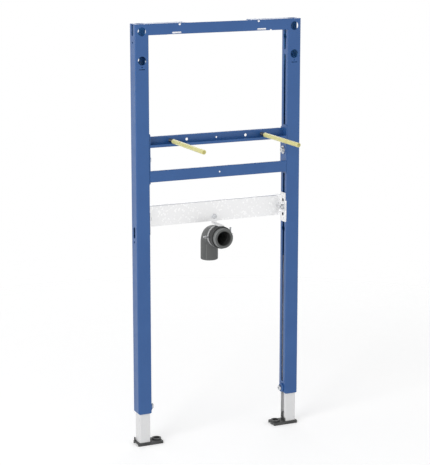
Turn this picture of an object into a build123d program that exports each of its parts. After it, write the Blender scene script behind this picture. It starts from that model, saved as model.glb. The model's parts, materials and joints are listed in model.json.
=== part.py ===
from build123d import *
import os

os.makedirs("parts", exist_ok=True)

# Basin installation frame for a stud wall or a wall lining.
# X runs along the frame, the front faces -Y, Z is up from the floor, and X = 0 is its middle.

# Overall frame
FRAME_WIDTH = 500.0            # over the outer faces of the two uprights
UPRIGHT_LENGTH = 1090.0
LEG_SHOWN = 84.5               # bare leg between the foot plate and the upright
SHEET = 2.0                    # steel of uprights, rail, crossbars and legs
CUT = 1.0                      # how far a cutting tool runs past a face

# Upright, a slotted tube
PROFILE_W = 40.0               # along X
PROFILE_D = 38.0               # along Y
PROFILE_R = 3.0                # outer bend radius
SLOT_W = 11.0                  # slot along the inner face
END_CORNER_R = 5.0             # rounded corners of the lower end
SLOT_TOP_DROP = 11.0           # from the upright's top to the slot's upper end
SLOT_BRIDGE_DROP = 87.0        # from the top to the upper edge of the bridge
SLOT_BRIDGE_H = 12.0
SLOT_FOOT_RISE = 34.0          # slot's lower end above the upright's lower end
KEYHOLE_R = 9.0                # openings that take the slot nuts
KEYHOLE_UPPER_DROP = 51.0
KEYHOLE_LOWER_RISE = 491.0
ACCESS_R = 12.0                # front holes for the wall fixings
WALL_BOLT_R = 6.5              # back holes for the wall fixings
ACCESS_DROPS = (20.0, 98.0)    # from the upright's top
PILOT_R = 2.0
PILOT_DROP = 115.0
LANCE_W = 18.0                 # narrow slit below the pilot hole
LANCE_H = 2.0
LANCE_DROP = 121.5
OUTER_SLOT_W = 12.0            # slots in the outer face, the upper one open at the top
OUTER_SLOT_L = 32.0
OUTER_SLOT_LOWER_RISE = 519.0
OUTER_PILOT_R = 3.2
OUTER_PILOT_UPPER_DROP = 50.0
OUTER_PILOT_LOWER_RISE = 492.5
TOP_HOLE_R = 12.0

# Top rail, a web with its lower edge folded back in the middle and its upper edge at the ends
RAIL_H = 30.0
RAIL_LOWER_D = 25.0
RAIL_UPPER_D = 36.0
RAIL_R = 3.0
RAIL_SLOT_L = 28.0
RAIL_SLOT_H = 4.5
RAIL_SLOT_SPACING = 256.0
RAIL_SLOT_RISE = 4.25          # slot's middle above the rail's lower edge
RAIL_NOTCH_R = 3.0             # relief at the ends of the lower fold
RAIL_NOTCH_SPACING = 313.0
RAIL_MITRE = 14.0              # how far the lower fold's ends are cut back at its free edge
RAIL_FOLD_SPACING = 196.0      # between the inner ends of the upper folds
RAIL_HOLE_R = 3.5              # hole across each upper fold
RAIL_HOLE_SPACING = 238.0

# Crossbar ladder that carries the basin
LADDER_PLATE_T = 2.5
LADDER_PLATE_W = 36.0
LADDER_PLATE_H = 139.0
LADDER_PLATE_R = 4.0
LADDER_SLANT_W = 22.0          # slanted upper corner at the back
LADDER_SLANT_H = 9.0
LADDER_ABOVE_BAR = 57.0        # ladder plate's lower edge above the waste bar's end plates
CROSSBAR_D = 24.0              # over the wide flange
CROSSBAR_LIP = 8.0             # over the narrow flange
TROUGH_LIP_H = 8.0             # upper crossbar's front lip, over its floor
CROSSBAR_R = 3.0
UPPER_BAR_H = 27.5
UPPER_BAR_RISE = 101.0         # above the ladder plate's lower edge
LOWER_BAR_H = 31.5
LOWER_BAR_RISE = 5.5
LOWER_BAR_HOLE_R = 2.5
LADDER_SCREW_RISE = 66.0
STUD_SPACING = 280.0
STUD_RISE = 14.4               # stud's axis above the upper crossbar's lower edge
STUD_R = 5.0                   # threaded rod M10
STUD_HOLE_GAP = 0.3
STUD_REACH = 200.0             # from the frame's front to the rod's front end
ALT_HOLE_SPACING = 180.0
ALT_HOLE_R = 4.0
MID_HOLE_R = 2.5
STUD_NUT_R = 9.2
STUD_NUT_T = 8.0
STUD_TAIL = 3.0                # rod past its nut
SLEEVE_R = 6.2
SLEEVE_GAP = 0.3               # rod to sleeve, and sleeve to crossbar
SLEEVE_END = 2.5               # sleeve past the rod's front end, closed there

# Screws and slot nuts, which clamp the ladder and the waste bar to the uprights
SCREW_R = 4.0
SCREW_HOLE_GAP = 0.3
LADDER_WASHER_R = 11.5
BAR_WASHER_R = 8.5
SCREW_WASHER_T = 2.0
SCREW_HEAD_R = 7.5
SCREW_HEAD_T = 5.5
SCREW_TIP = 2.0                # thread past its nut
NUT_W = 24.0                   # across the slot
NUT_H = 16.0
NUT_T = 6.0

# Waste bar, a folded strip with its ends bent forward into taller end plates
BAR_H = 58.5
BAR_RISE = 528.0               # strip's lower edge above the upright's lower end
BAR_T = 2.0
BAR_R = 3.0
BAR_FLANGE_D = 14.0            # upper edge folded to the back, over the strip
BAR_END_H = 84.0
BAR_END_D = 37.0
BAR_END_R = 3.0
BAR_END_DROP = 16.0            # end plate below the strip's lower edge
BAR_STEP_H = 22.0              # upper part of the end plate, set back
BAR_STEP_D = 4.0
BAR_HOLE_R = 5.0
BAR_HOLE_PITCH = 20.5
BAR_BOLT_RISE = 13.0           # bracket bolt above the strip's lower edge

# Waste bend with its seal
PIPE_R = 25.0
PIPE_WALL = 3.0
PIPE_CHAMFER = 2.0
BEND_R = 30.0
SPIGOT_BACK = 51.0             # spigot's axis behind the middle of the uprights
SPIGOT_DROP = 78.0             # from the inlet's axis to the spigot's end
SOCKET_R = 30.0
SOCKET_L = 16.0
COLLAR_RIM = 1.5               # collar past the socket's surface
COLLAR_L = 23.0
COLLAR_EDGE = 1.0
SEAL_R = 28.0
SEAL_L = 13.0
SEAL_BORE_R = 20.0
SEAL_EDGE = 1.5
SEAL_PLUG_L = 18.0             # seal inside the collar
SEAL_GAP = 0.3
INLET_REACH = 29.0             # inlet's face in front of the uprights

# Clip and bracket of the waste bend
CLIP_T = 1.6
CLIP_W = 7.0
CLIP_GAP = 0.3
EAR_L = 13.0
EAR_T = 1.6
RIVET_SPLIT = 0.6              # between the ears on the left, which a rivet holds
RIVET_R = 2.0
RIVET_HEAD_R = 3.0
RIVET_HEAD_T = 1.0
SCREW_SPLIT = 5.0              # between the ears on the right, which a screw draws together
CLIP_SCREW_R = 2.4
CLIP_SCREW_STAND = 14.0        # screw's head above the upper ear
CLIP_HEAD_R = 3.2
CLIP_HEAD_T = 4.0
ARM_W = 16.0
ARM_LAP = 18.0                 # arm past the clip, over the collar
ARM_T = 2.0
ARM_R = 3.0
ARM_GAP = 5.0                  # from the arm up to the waste bar's lower edge
ARM_EDGE = 12.0                # bracket above its bolt's axis
BOLT_R = 4.0
BOLT_GAP = 0.3
BOLT_HEAD_R = 7.0
BOLT_HEAD_T = 5.0
BOLT_TAIL = 2.0

# Feet
LEG_GAP_X = 4.0                # leg inside the upright's outer size, along X
LEG_GAP_Y = 0.5                # leg to the upright's inner wall, along Y
LEG_R = 3.0
LEG_OVERLAP = 408.0            # leg inside the upright as photographed
LEG_LIP_FRONT = 10.5
LEG_LIP_BACK = 3.5
PLATE_L = 76.5
PLATE_D = 41.0
PLATE_H = 8.5
PLATE_R = 3.0
PLATE_EDGE = 1.2               # chamfer of the plate's upper edges
PLATE_OVERHANG = 2.0           # plate past the upright's outer face
GROOVE_W = 11.0                # two grooves along the underside, which join below the leg's outer half
GROOVE_H = 4.5
GROOVE_SPACING = 20.0
RING_R = 13.5
RING_H = 4.5
RING_BORE_R = 9.5              # recess for the anchor's head
RING_BORE_H = 5.0
ANCHOR_R = 6.0
ANCHOR_INSET = 61.0            # anchor hole from the upright's outer face
PLUG_H = 20.0
PLUG_GAP = 0.3
UPSTAND_H = 9.0                # small walls on the plate, behind and inside the leg
UPSTAND_T = 3.0
TAB_W = 6.0
LOCK_R = 13.0
LOCK_T = 5.0
LOCK_EDGE = 1.5
LOCK_RISE = 15.0
LOCK_SCREW_R = 4.0
LOCK_HEAD_R = 8.0
LOCK_HEAD_T = 6.0
LOCK_PAD_R = 11.0              # pad on the screw's tip, which bears on the leg
LOCK_PAD_GAP = 0.3

# Places that follow from the sizes above
half = FRAME_WIDTH / 2
front_y = -PROFILE_D / 2
back_y = PROFILE_D / 2
base_z = PLATE_H + LEG_SHOWN
top_z = base_z + UPRIGHT_LENGTH
inner_x = half - PROFILE_W
mid_x = half - PROFILE_W / 2


def block(x0, x1, y0, y1, z0, z1):
    return Pos((x0 + x1) / 2, (y0 + y1) / 2, (z0 + z1) / 2) * Box(abs(x1 - x0), abs(y1 - y0), abs(z1 - z0))


def round_x(r, x0, x1, y, z):
    return Pos((x0 + x1) / 2, y, z) * Rot(0, 90, 0) * Cylinder(r, abs(x1 - x0))


def round_y(r, y0, y1, x, z):
    return Pos(x, (y0 + y1) / 2, z) * Rot(90, 0, 0) * Cylinder(r, abs(y1 - y0))


def round_z(r, z0, z1, x, y):
    return Pos(x, y, (z0 + z1) / 2) * Cylinder(r, abs(z1 - z0))


def hex_x(r, x0, x1, y, z):
    return Pos(min(x0, x1), y, z) * Rot(0, 90, 0) * extrude(RegularPolygon(r, 6), abs(x1 - x0))


def hex_y(r, y0, y1, x, z):
    return Pos(x, max(y0, y1), z) * Rot(90, 0, 0) * extrude(RegularPolygon(r, 6), abs(y1 - y0))


def slot_in_x(width, x0, x1, y, z0, z1):
    """A slot through a wall that faces X, with round ends at z0 and z1."""
    r = width / 2
    return (block(x0, x1, y - r, y + r, z0 + r, z1 - r)
            + round_x(r, x0, x1, y, z0 + r) + round_x(r, x0, x1, y, z1 - r))


def slot_in_y(height, y0, y1, x0, x1, z):
    """A slot through a wall that faces Y, with round ends at x0 and x1."""
    r = height / 2
    return (block(x0 + r, x1 - r, y0, y1, z - r, z + r)
            + round_y(r, y0, y1, x0 + r, z) + round_y(r, y0, y1, x1 - r, z))


def ring_section(w, d, wall, r):
    return RectangleRounded(w, d, r) - RectangleRounded(w - 2 * wall, d - 2 * wall, r - wall)


def tube_z(w, d, wall, r, x, z0, z1):
    return Pos(x, 0, z0) * extrude(ring_section(w, d, wall, r), z1 - z0)


def channel_x(x0, x1, y_web, y_open, z0, z1, wall, r):
    """A channel along X with its web at y_web and its open side at y_open."""
    away = 1 if y_open > y_web else -1
    y_far = y_open + away * (r + CUT)
    bar = extrude(ring_section(abs(y_far - y_web), z1 - z0, wall, r), x1 - x0)
    bar = Plane((x0, (y_web + y_far) / 2, (z0 + z1) / 2), x_dir=(0, 1, 0), z_dir=(1, 0, 0)) * bar
    return bar - block(x0 - CUT, x1 + CUT, y_open, y_far + away * CUT, z0 - CUT, z1 + CUT)


def angle_x(x0, x1, y_web, y_open, z_fold, z_edge, wall, r):
    """An angle along X: a web from z_fold to z_edge, and a flange at z_fold from y_web to y_open."""
    up = 1 if z_edge > z_fold else -1
    z_far = z_edge + up * (r + CUT)
    bar = channel_x(x0, x1, y_web, y_open, min(z_fold, z_far), max(z_fold, z_far), wall, r)
    beyond = sorted((z_edge, z_far + up * CUT))
    return bar - block(x0 - CUT, x1 + CUT, min(y_web, y_open) - CUT, max(y_web, y_open) + CUT, *beyond)


def trough_x(x0, x1, y0, y1, z0, front_top, back_top, wall, r):
    """A trough along X with its floor at z0, a front wall at y0 and a back wall at y1."""
    z_far = max(front_top, back_top) + r + CUT
    y_mid = (y0 + y1) / 2
    bar = extrude(ring_section(y1 - y0, z_far - z0, wall, r), x1 - x0)
    bar = Plane((x0, y_mid, (z0 + z_far) / 2), x_dir=(0, 1, 0), z_dir=(1, 0, 0)) * bar
    bar -= block(x0 - CUT, x1 + CUT, y0 - CUT, y_mid, front_top, z_far + CUT)
    return bar - block(x0 - CUT, x1 + CUT, y_mid, y1 + CUT, back_top, z_far + CUT)


def both(name, shape):
    """Write a piece of the right-hand side and its mirror image."""
    export_step(shape, f"parts/right_{name}.step")
    export_step(mirror(shape, about=Plane.YZ), f"parts/left_{name}.step")


def one(name, shape):
    export_step(shape, f"parts/{name}.step")


# Uprights
upright = tube_z(PROFILE_W, PROFILE_D, SHEET, PROFILE_R, mid_x, base_z, top_z)
wall_in = (inner_x - CUT, inner_x + SHEET + CUT)
wall_out = (half - SHEET - CUT, half + CUT)
wall_front = (front_y - CUT, front_y + SHEET + CUT)
wall_back = (back_y - SHEET - CUT, back_y + CUT)
bridge_top = top_z - SLOT_BRIDGE_DROP
upright -= slot_in_x(SLOT_W, *wall_in, 0, bridge_top, top_z - SLOT_TOP_DROP)
upright -= slot_in_x(SLOT_W, *wall_in, 0, base_z + SLOT_FOOT_RISE, bridge_top - SLOT_BRIDGE_H)
for key_z in (top_z - KEYHOLE_UPPER_DROP, base_z + KEYHOLE_LOWER_RISE):
    upright -= round_x(KEYHOLE_R, *wall_in, 0, key_z)
for drop in ACCESS_DROPS:
    upright -= round_y(ACCESS_R, *wall_front, mid_x, top_z - drop)
    upright -= round_y(WALL_BOLT_R, *wall_back, mid_x, top_z - drop)
upright -= round_y(PILOT_R, *wall_front, mid_x, top_z - PILOT_DROP)
upright -= slot_in_y(LANCE_H, *wall_front, mid_x - LANCE_W / 2, mid_x + LANCE_W / 2, top_z - LANCE_DROP)
upright -= slot_in_x(OUTER_SLOT_W, *wall_out, 0, top_z - OUTER_SLOT_L, top_z + OUTER_SLOT_W)
outer_slot_z = base_z + OUTER_SLOT_LOWER_RISE
upright -= slot_in_x(OUTER_SLOT_W, *wall_out, 0, outer_slot_z - OUTER_SLOT_L / 2,
                     outer_slot_z + OUTER_SLOT_L / 2)
for pilot_z in (top_z - OUTER_PILOT_UPPER_DROP, base_z + OUTER_PILOT_LOWER_RISE):
    upright -= round_x(OUTER_PILOT_R, *wall_out, 0, pilot_z)
for corner_x, side in ((inner_x, 1), (half, -1)):
    round_x_at = corner_x + side * END_CORNER_R
    round_z_at = base_z + END_CORNER_R
    corner = block(corner_x - side * CUT, round_x_at, front_y - CUT, back_y + CUT, base_z - CUT, round_z_at)
    upright -= corner - round_y(END_CORNER_R, front_y - CUT, back_y + CUT, round_x_at, round_z_at)
lock_z = base_z + LOCK_RISE
upright -= round_x(LOCK_SCREW_R + SCREW_HOLE_GAP, *wall_in, 0, lock_z)
both("upright", upright)

# Plates that close the uprights' upper ends
cap = extrude(RectangleRounded(PROFILE_W - 2 * SHEET, PROFILE_D - 2 * SHEET, PROFILE_R - SHEET), SHEET)
cap = Pos(mid_x, 0, top_z - SHEET) * cap
cap -= round_z(TOP_HOLE_R, top_z - SHEET - CUT, top_z + CUT, mid_x, 0)
both("top_plate", cap)

# Top rail
rail_z = top_z - RAIL_H
notch_x = RAIL_NOTCH_SPACING / 2
upper_x = RAIL_FOLD_SPACING / 2
rail_low_y = front_y + RAIL_LOWER_D
rail_top_y = front_y + RAIL_UPPER_D
rail = angle_x(-upper_x, upper_x, front_y, rail_low_y, rail_z, top_z, SHEET, RAIL_R)
for x0, x1 in ((-notch_x, -upper_x), (upper_x, notch_x)):
    rail += channel_x(x0, x1, front_y, rail_low_y, rail_z, top_z, SHEET, RAIL_R)
    rail += block(x0, x1, rail_low_y, rail_top_y, top_z - SHEET, top_z)
for x0, x1 in ((-inner_x, -notch_x), (notch_x, inner_x)):
    rail += angle_x(x0, x1, front_y, rail_top_y, top_z, rail_z, SHEET, RAIL_R)
for side in (-1, 1):
    slot_x = side * RAIL_SLOT_SPACING / 2
    rail -= slot_in_y(RAIL_SLOT_H, *wall_front, slot_x - RAIL_SLOT_L / 2, slot_x + RAIL_SLOT_L / 2,
                      rail_z + RAIL_SLOT_RISE)
    rail -= round_y(RAIL_NOTCH_R, front_y - CUT, rail_low_y + CUT, side * notch_x, rail_z)
    rail -= round_y(RAIL_HOLE_R, front_y - CUT, front_y + SHEET + RAIL_R, side * RAIL_HOLE_SPACING / 2,
                    top_z - RAIL_R)
    mitre = Polygon((side * notch_x, front_y + RAIL_R), (side * notch_x, rail_low_y + CUT),
                    (side * (notch_x - RAIL_MITRE), rail_low_y + CUT), align=None)
    rail -= Pos(0, 0, rail_z - CUT) * extrude(mitre, RAIL_R + CUT)
one("top_rail", rail)

# Waste bar
bar_z = base_z + BAR_RISE
bar_top = bar_z + BAR_H
end_z = bar_z - BAR_END_DROP
end_top = end_z + BAR_END_H
end_mid = (end_z + end_top) / 2
bar_front = back_y - BAR_T
end_front = back_y - BAR_END_D
fold_x = inner_x - BAR_R
plan_d = BAR_END_D + BAR_R + CUT
bar = Pos(0, back_y - plan_d / 2, end_z) * extrude(ring_section(2 * inner_x, plan_d, BAR_T, BAR_R), BAR_END_H)
side_d = BAR_END_D + BAR_END_R + CUT
side_view = extrude(RectangleRounded(side_d, BAR_END_H, BAR_END_R), 2 * inner_x)
bar &= Plane((-inner_x, end_front + side_d / 2, end_mid), x_dir=(0, 1, 0), z_dir=(1, 0, 0)) * side_view
bar -= block(-fold_x, fold_x, bar_front - CUT, back_y + CUT, end_z - CUT, end_top + CUT)
for z0, z1 in ((end_z - CUT, bar_z), (bar_top, end_top + CUT)):
    bar -= block(-inner_x - CUT, inner_x + CUT, back_y - BAR_R, back_y + CUT, z0, z1)
bar -= block(-inner_x - CUT, inner_x + CUT, end_front - CUT, end_front + BAR_STEP_D, end_top - BAR_STEP_H,
             end_top + CUT)
bar += angle_x(-fold_x, fold_x, bar_front, bar_front + BAR_FLANGE_D, bar_top, bar_z, BAR_T, BAR_R)
for step in (-1, 0, 1):
    bar -= round_x(BAR_HOLE_R, -inner_x - CUT, inner_x + CUT, 0, end_mid + step * BAR_HOLE_PITCH)
bolt_z = bar_z + BAR_BOLT_RISE
bar -= round_y(BOLT_R + BOLT_GAP, bar_front - CUT, back_y + CUT, 0, bolt_z)
one("waste_bar", bar)

# Crossbar ladder
ladder_z = end_top + LADDER_ABOVE_BAR
ladder_x = inner_x - LADDER_PLATE_T
screw_z = ladder_z + LADDER_SCREW_RISE
plate_y = LADDER_PLATE_W / 2
plate = Polygon((-plate_y, 0), (plate_y, 0), (plate_y, LADDER_PLATE_H - LADDER_SLANT_H),
                (plate_y - LADDER_SLANT_W, LADDER_PLATE_H), (-plate_y, LADDER_PLATE_H), align=None)
plate = extrude(fillet(plate.vertices(), LADDER_PLATE_R), LADDER_PLATE_T)
plate = Plane((ladder_x, 0, ladder_z), x_dir=(0, 1, 0), z_dir=(1, 0, 0)) * plate
plate -= round_x(SCREW_R + SCREW_HOLE_GAP, ladder_x - CUT, inner_x + CUT, 0, screw_z)
both("ladder_plate", plate)

# Upper crossbar, a trough with a low front lip, and a flange to the back above
upper_z = ladder_z + UPPER_BAR_RISE
upper_top = upper_z + UPPER_BAR_H
stud_z = upper_z + STUD_RISE
web_y = front_y + CROSSBAR_D
web_front = web_y - SHEET
lip_top = upper_z + TROUGH_LIP_H
upper = trough_x(-ladder_x, ladder_x, front_y, web_y, upper_z, lip_top, stud_z, SHEET, CROSSBAR_R)
upper += angle_x(-ladder_x, ladder_x, web_front, web_front + CROSSBAR_LIP, upper_top, stud_z, SHEET, CROSSBAR_R)
wall_web = (web_front - CUT, web_y + CUT)
for side in (-1, 1):
    upper -= round_y(STUD_R + STUD_HOLE_GAP, *wall_web, side * STUD_SPACING / 2, stud_z)
    upper -= round_y(ALT_HOLE_R, *wall_web, side * ALT_HOLE_SPACING / 2, stud_z)
upper -= round_y(MID_HOLE_R, *wall_web, 0, stud_z)
one("upper_crossbar", upper)

# Lower crossbar, a channel open to the back with a narrow upper lip
lower_z = ladder_z + LOWER_BAR_RISE
lower_top = lower_z + LOWER_BAR_H
lower = channel_x(-ladder_x, ladder_x, front_y, web_y, lower_z, lower_top, SHEET, CROSSBAR_R)
lower -= block(-ladder_x - CUT, ladder_x + CUT, front_y + CROSSBAR_LIP, web_y + CUT, lower_top - SHEET - CUT,
               lower_top + CUT)
lower -= round_y(LOWER_BAR_HOLE_R, *wall_front, 0, lower_z + LOWER_BAR_H / 2)
one("lower_crossbar", lower)

# Basin studs with their sleeves and nuts
stud_x = STUD_SPACING / 2
stud_tip = front_y - STUD_REACH
stud_end = web_y + STUD_NUT_T + STUD_TAIL
both("threaded_rod", round_y(STUD_R, stud_tip, stud_end, stud_x, stud_z))
sleeve_back = front_y - SLEEVE_GAP
sleeve = round_y(SLEEVE_R, stud_tip - SLEEVE_END, sleeve_back, stud_x, stud_z)
sleeve -= round_y(STUD_R + SLEEVE_GAP, stud_tip - SLEEVE_GAP, sleeve_back + CUT, stud_x, stud_z)
both("rod_sleeve", sleeve)
nut = hex_y(STUD_NUT_R, web_y, web_y + STUD_NUT_T, stud_x, stud_z)
nut -= round_y(STUD_R, web_y - CUT, web_y + STUD_NUT_T + CUT, stud_x, stud_z)
both("rod_nut", nut)


def clamp_screw(seat_x, z, washer_r):
    """Hexagon screw with a washer, seated on a plate at seat_x, and its nut behind the slot."""
    nut_x = inner_x + SHEET
    screw = round_x(SCREW_R, seat_x - SCREW_WASHER_T, nut_x + NUT_T + SCREW_TIP, 0, z)
    screw += round_x(washer_r, seat_x - SCREW_WASHER_T, seat_x, 0, z)
    screw += hex_x(SCREW_HEAD_R, seat_x - SCREW_WASHER_T - SCREW_HEAD_T, seat_x - SCREW_WASHER_T, 0, z)
    slot_nut = block(nut_x, nut_x + NUT_T, -NUT_W / 2, NUT_W / 2, z - NUT_H / 2, z + NUT_H / 2)
    slot_nut -= round_x(SCREW_R, nut_x - CUT, nut_x + NUT_T + CUT, 0, z)
    return screw, slot_nut


for seat_name, seat_x, seat_z, washer_r in (("ladder", ladder_x, screw_z, LADDER_WASHER_R),
                                            ("waste_bar", inner_x - BAR_T, end_mid, BAR_WASHER_R)):
    screw, slot_nut = clamp_screw(seat_x, seat_z, washer_r)
    both(f"{seat_name}_screw", screw)
    both(f"{seat_name}_slot_nut", slot_nut)

# Waste bend, hung so that its bracket clears the waste bar's lower edge
clip_in = SOCKET_R + CLIP_GAP
clip_out = clip_in + CLIP_T
inlet_z = bar_z - ARM_GAP - ARM_T - clip_out
inlet_y = front_y - INLET_REACH
collar_y = inlet_y + SEAL_L
socket_y = collar_y + COLLAR_L
pipe_y = socket_y + SOCKET_L
spigot_z = inlet_z - SPIGOT_DROP
elbow_y = SPIGOT_BACK - BEND_R
elbow_z = inlet_z - BEND_R


def bent_run(r, z0, y1):
    """The bend at radius r: up from z0, round a quarter turn and forward to y1."""
    elbow = revolve(Plane((0, SPIGOT_BACK, elbow_z)) * Circle(r), Axis((0, elbow_y, elbow_z), (1, 0, 0)), 90)
    return round_z(r, z0, elbow_z, 0, SPIGOT_BACK) + elbow + round_y(r, y1, elbow_y, 0, inlet_z)


bend = bent_run(PIPE_R, spigot_z, pipe_y)
bend = chamfer(bend.edges().group_by(Axis.Z)[0], PIPE_CHAMFER)
bend += round_y(SOCKET_R, collar_y, pipe_y, 0, inlet_z)
collar = round_y(SOCKET_R + COLLAR_RIM, collar_y, socket_y, 0, inlet_z)
bend += chamfer(collar.edges().filter_by(GeomType.CIRCLE), COLLAR_EDGE)
plug_y = collar_y + SEAL_PLUG_L
bend -= bent_run(PIPE_R - PIPE_WALL, spigot_z - CUT, collar_y - CUT)
bend -= round_y(PIPE_R, collar_y - CUT, plug_y, 0, inlet_z)
one("waste_bend", bend)

seal = round_y(SEAL_R, inlet_y, collar_y, 0, inlet_z)
seal = chamfer(seal.edges().group_by(Axis.Y)[0], SEAL_EDGE)
seal += round_y(PIPE_R - SEAL_GAP, collar_y, plug_y - SEAL_GAP, 0, inlet_z)
seal -= round_y(SEAL_BORE_R, inlet_y - CUT, plug_y + CUT, 0, inlet_z)
one("waste_seal", seal)

# Clip round the socket, in an upper and a lower half that meet at two pairs of ears
clip_y = socket_y + CLIP_GAP
clip_back = clip_y + CLIP_W
ear_end = clip_out + EAR_L
ear_mid = clip_out + EAR_L / 2
clip_mid = clip_y + CLIP_W / 2
clip = round_y(clip_out, clip_y, clip_back, 0, inlet_z)
for side, split in ((-1, RIVET_SPLIT), (1, SCREW_SPLIT)):
    ear_z = split / 2 + EAR_T
    clip += block(0, side * ear_end, clip_y, clip_back, inlet_z - ear_z, inlet_z + ear_z)
clip -= round_y(clip_in, clip_y - CUT, clip_back + CUT, 0, inlet_z)
for side, split, hole_r in ((-1, RIVET_SPLIT, RIVET_R), (1, SCREW_SPLIT, CLIP_SCREW_R)):
    ear_z = split / 2 + EAR_T
    clip -= block(0, side * (ear_end + CUT), clip_y - CUT, clip_back + CUT, inlet_z - split / 2,
                  inlet_z + split / 2)
    clip -= round_z(hole_r, inlet_z - ear_z - CUT, inlet_z + ear_z + CUT, side * ear_mid, clip_mid)
one("waste_clip", clip)


def headed_pin(x, r, z0, z1, head_r, head_t):
    """An upright pin from z0 to z1 with a round head at each end."""
    pin = round_z(r, z0, z1, x, clip_mid) + round_z(head_r, z1, z1 + head_t, x, clip_mid)
    return pin + round_z(head_r, z0 - head_t, z0, x, clip_mid)


rivet_z = RIVET_SPLIT / 2 + EAR_T
rivet = headed_pin(-ear_mid, RIVET_R, inlet_z - rivet_z, inlet_z + rivet_z, RIVET_HEAD_R, RIVET_HEAD_T)
screw_ear_z = SCREW_SPLIT / 2 + EAR_T
clip_screw = headed_pin(ear_mid, CLIP_SCREW_R, inlet_z - screw_ear_z, inlet_z + screw_ear_z + CLIP_SCREW_STAND,
                        CLIP_HEAD_R, CLIP_HEAD_T)
one("waste_clip_screws", rivet + clip_screw)

# Bracket that hangs the clip from the waste bar
arm_z = inlet_z + clip_out
bolt_back = back_y + ARM_T
arm = angle_x(-ARM_W / 2, ARM_W / 2, bolt_back, clip_y - ARM_LAP, arm_z, bolt_z + ARM_EDGE, ARM_T, ARM_R)
arm -= round_y(BOLT_R + BOLT_GAP, back_y - CUT, bolt_back + CUT, 0, bolt_z)
one("waste_bracket", arm)
bolt = round_y(BOLT_R, bar_front, bolt_back + BOLT_HEAD_T + BOLT_TAIL, 0, bolt_z)
bolt += hex_y(BOLT_HEAD_R, bar_front - BOLT_HEAD_T, bar_front, 0, bolt_z)
bolt += hex_y(BOLT_HEAD_R, bolt_back, bolt_back + BOLT_HEAD_T, 0, bolt_z)
one("waste_bracket_bolt", bolt)

# Telescopic legs
leg_w = PROFILE_W - 2 * LEG_GAP_X
leg_d = PROFILE_D - 2 * SHEET - 2 * LEG_GAP_Y
leg_front = -leg_d / 2
leg_back = leg_d / 2
leg_in = mid_x - leg_w / 2
leg_top = base_z + LEG_OVERLAP
lip_y = leg_front + LEG_LIP_FRONT
leg = tube_z(leg_w, leg_d, SHEET, LEG_R, mid_x, PLATE_H, leg_top)
leg -= block(leg_in - CUT, leg_in + SHEET + CUT, lip_y, leg_back - LEG_LIP_BACK, PLATE_H - CUT, leg_top + CUT)
both("foot_leg", leg)

# Foot plates with a grooved underside, an anchor ring and a plug in the leg
plate_out = half + PLATE_OVERHANG
plate_in = plate_out - PLATE_L
anchor_x = half - ANCHOR_INSET
foot = extrude(RectangleRounded(PLATE_L, PLATE_D, PLATE_R), PLATE_H)
foot = Pos((plate_in + plate_out) / 2, 0, 0) * chamfer(foot.edges().group_by(Axis.Z)[-1], PLATE_EDGE)
for side in (-1, 1):
    groove_y = side * GROOVE_SPACING / 2
    groove = block(plate_in - CUT, plate_out + CUT, groove_y - GROOVE_W / 2, groove_y + GROOVE_W / 2, -CUT,
                   GROOVE_H)
    foot -= groove - round_z(RING_R, -CUT, GROOVE_H + CUT, anchor_x, 0)
foot -= block(mid_x, plate_out + CUT, -GROOVE_SPACING / 2, GROOVE_SPACING / 2, -CUT, GROOVE_H)
plug_w = leg_w - 2 * SHEET - 2 * PLUG_GAP
plug_d = leg_d - 2 * SHEET - 2 * PLUG_GAP
upstand_top = PLATE_H + UPSTAND_H
tab_y = PLATE_D / 2 - PLATE_R
foot += block(mid_x - plug_w / 2, mid_x + plug_w / 2, -plug_d / 2, plug_d / 2, PLATE_H, PLATE_H + PLUG_H)
foot += round_z(RING_R, PLATE_H, PLATE_H + RING_H, anchor_x, 0)
tab_x = plate_out - PLATE_EDGE
foot += block(tab_x - UPSTAND_T, tab_x, tab_y - TAB_W, tab_y, PLATE_H, upstand_top)
heel_x = leg_in - PLUG_GAP
foot += block(heel_x - UPSTAND_T, heel_x, leg_front, lip_y, PLATE_H, upstand_top)
ring_top = PLATE_H + RING_H
foot -= round_z(RING_BORE_R, ring_top - RING_BORE_H, ring_top + CUT, anchor_x, 0)
foot -= round_z(ANCHOR_R, -CUT, ring_top + CUT, anchor_x, 0)
both("foot_plate", foot)

# Foot locks, whose screws press a pad on the leg's lip
lock_face = inner_x - LOCK_T
lock = round_x(LOCK_R, lock_face, inner_x, 0, lock_z)
lock = chamfer(lock.edges().group_by(Axis.X)[0], LOCK_EDGE)
lock -= round_x(LOCK_SCREW_R, lock_face - CUT, inner_x + CUT, 0, lock_z)
both("foot_lock", lock)
pad_x = inner_x + SHEET + LOCK_PAD_GAP
lock_screw = round_x(LOCK_SCREW_R, lock_face, pad_x, 0, lock_z)
lock_screw += round_x(LOCK_PAD_R, pad_x, leg_in - LOCK_PAD_GAP, 0, lock_z)
lock_screw += hex_x(LOCK_HEAD_R, lock_face - LOCK_HEAD_T, lock_face, 0, lock_z)
both("foot_lock_screw", lock_screw)
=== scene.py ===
import json
import math

import bmesh
import bpy
from bpy.props import FloatProperty, FloatVectorProperty, IntProperty, PointerProperty
from mathutils import Matrix, Vector

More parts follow.
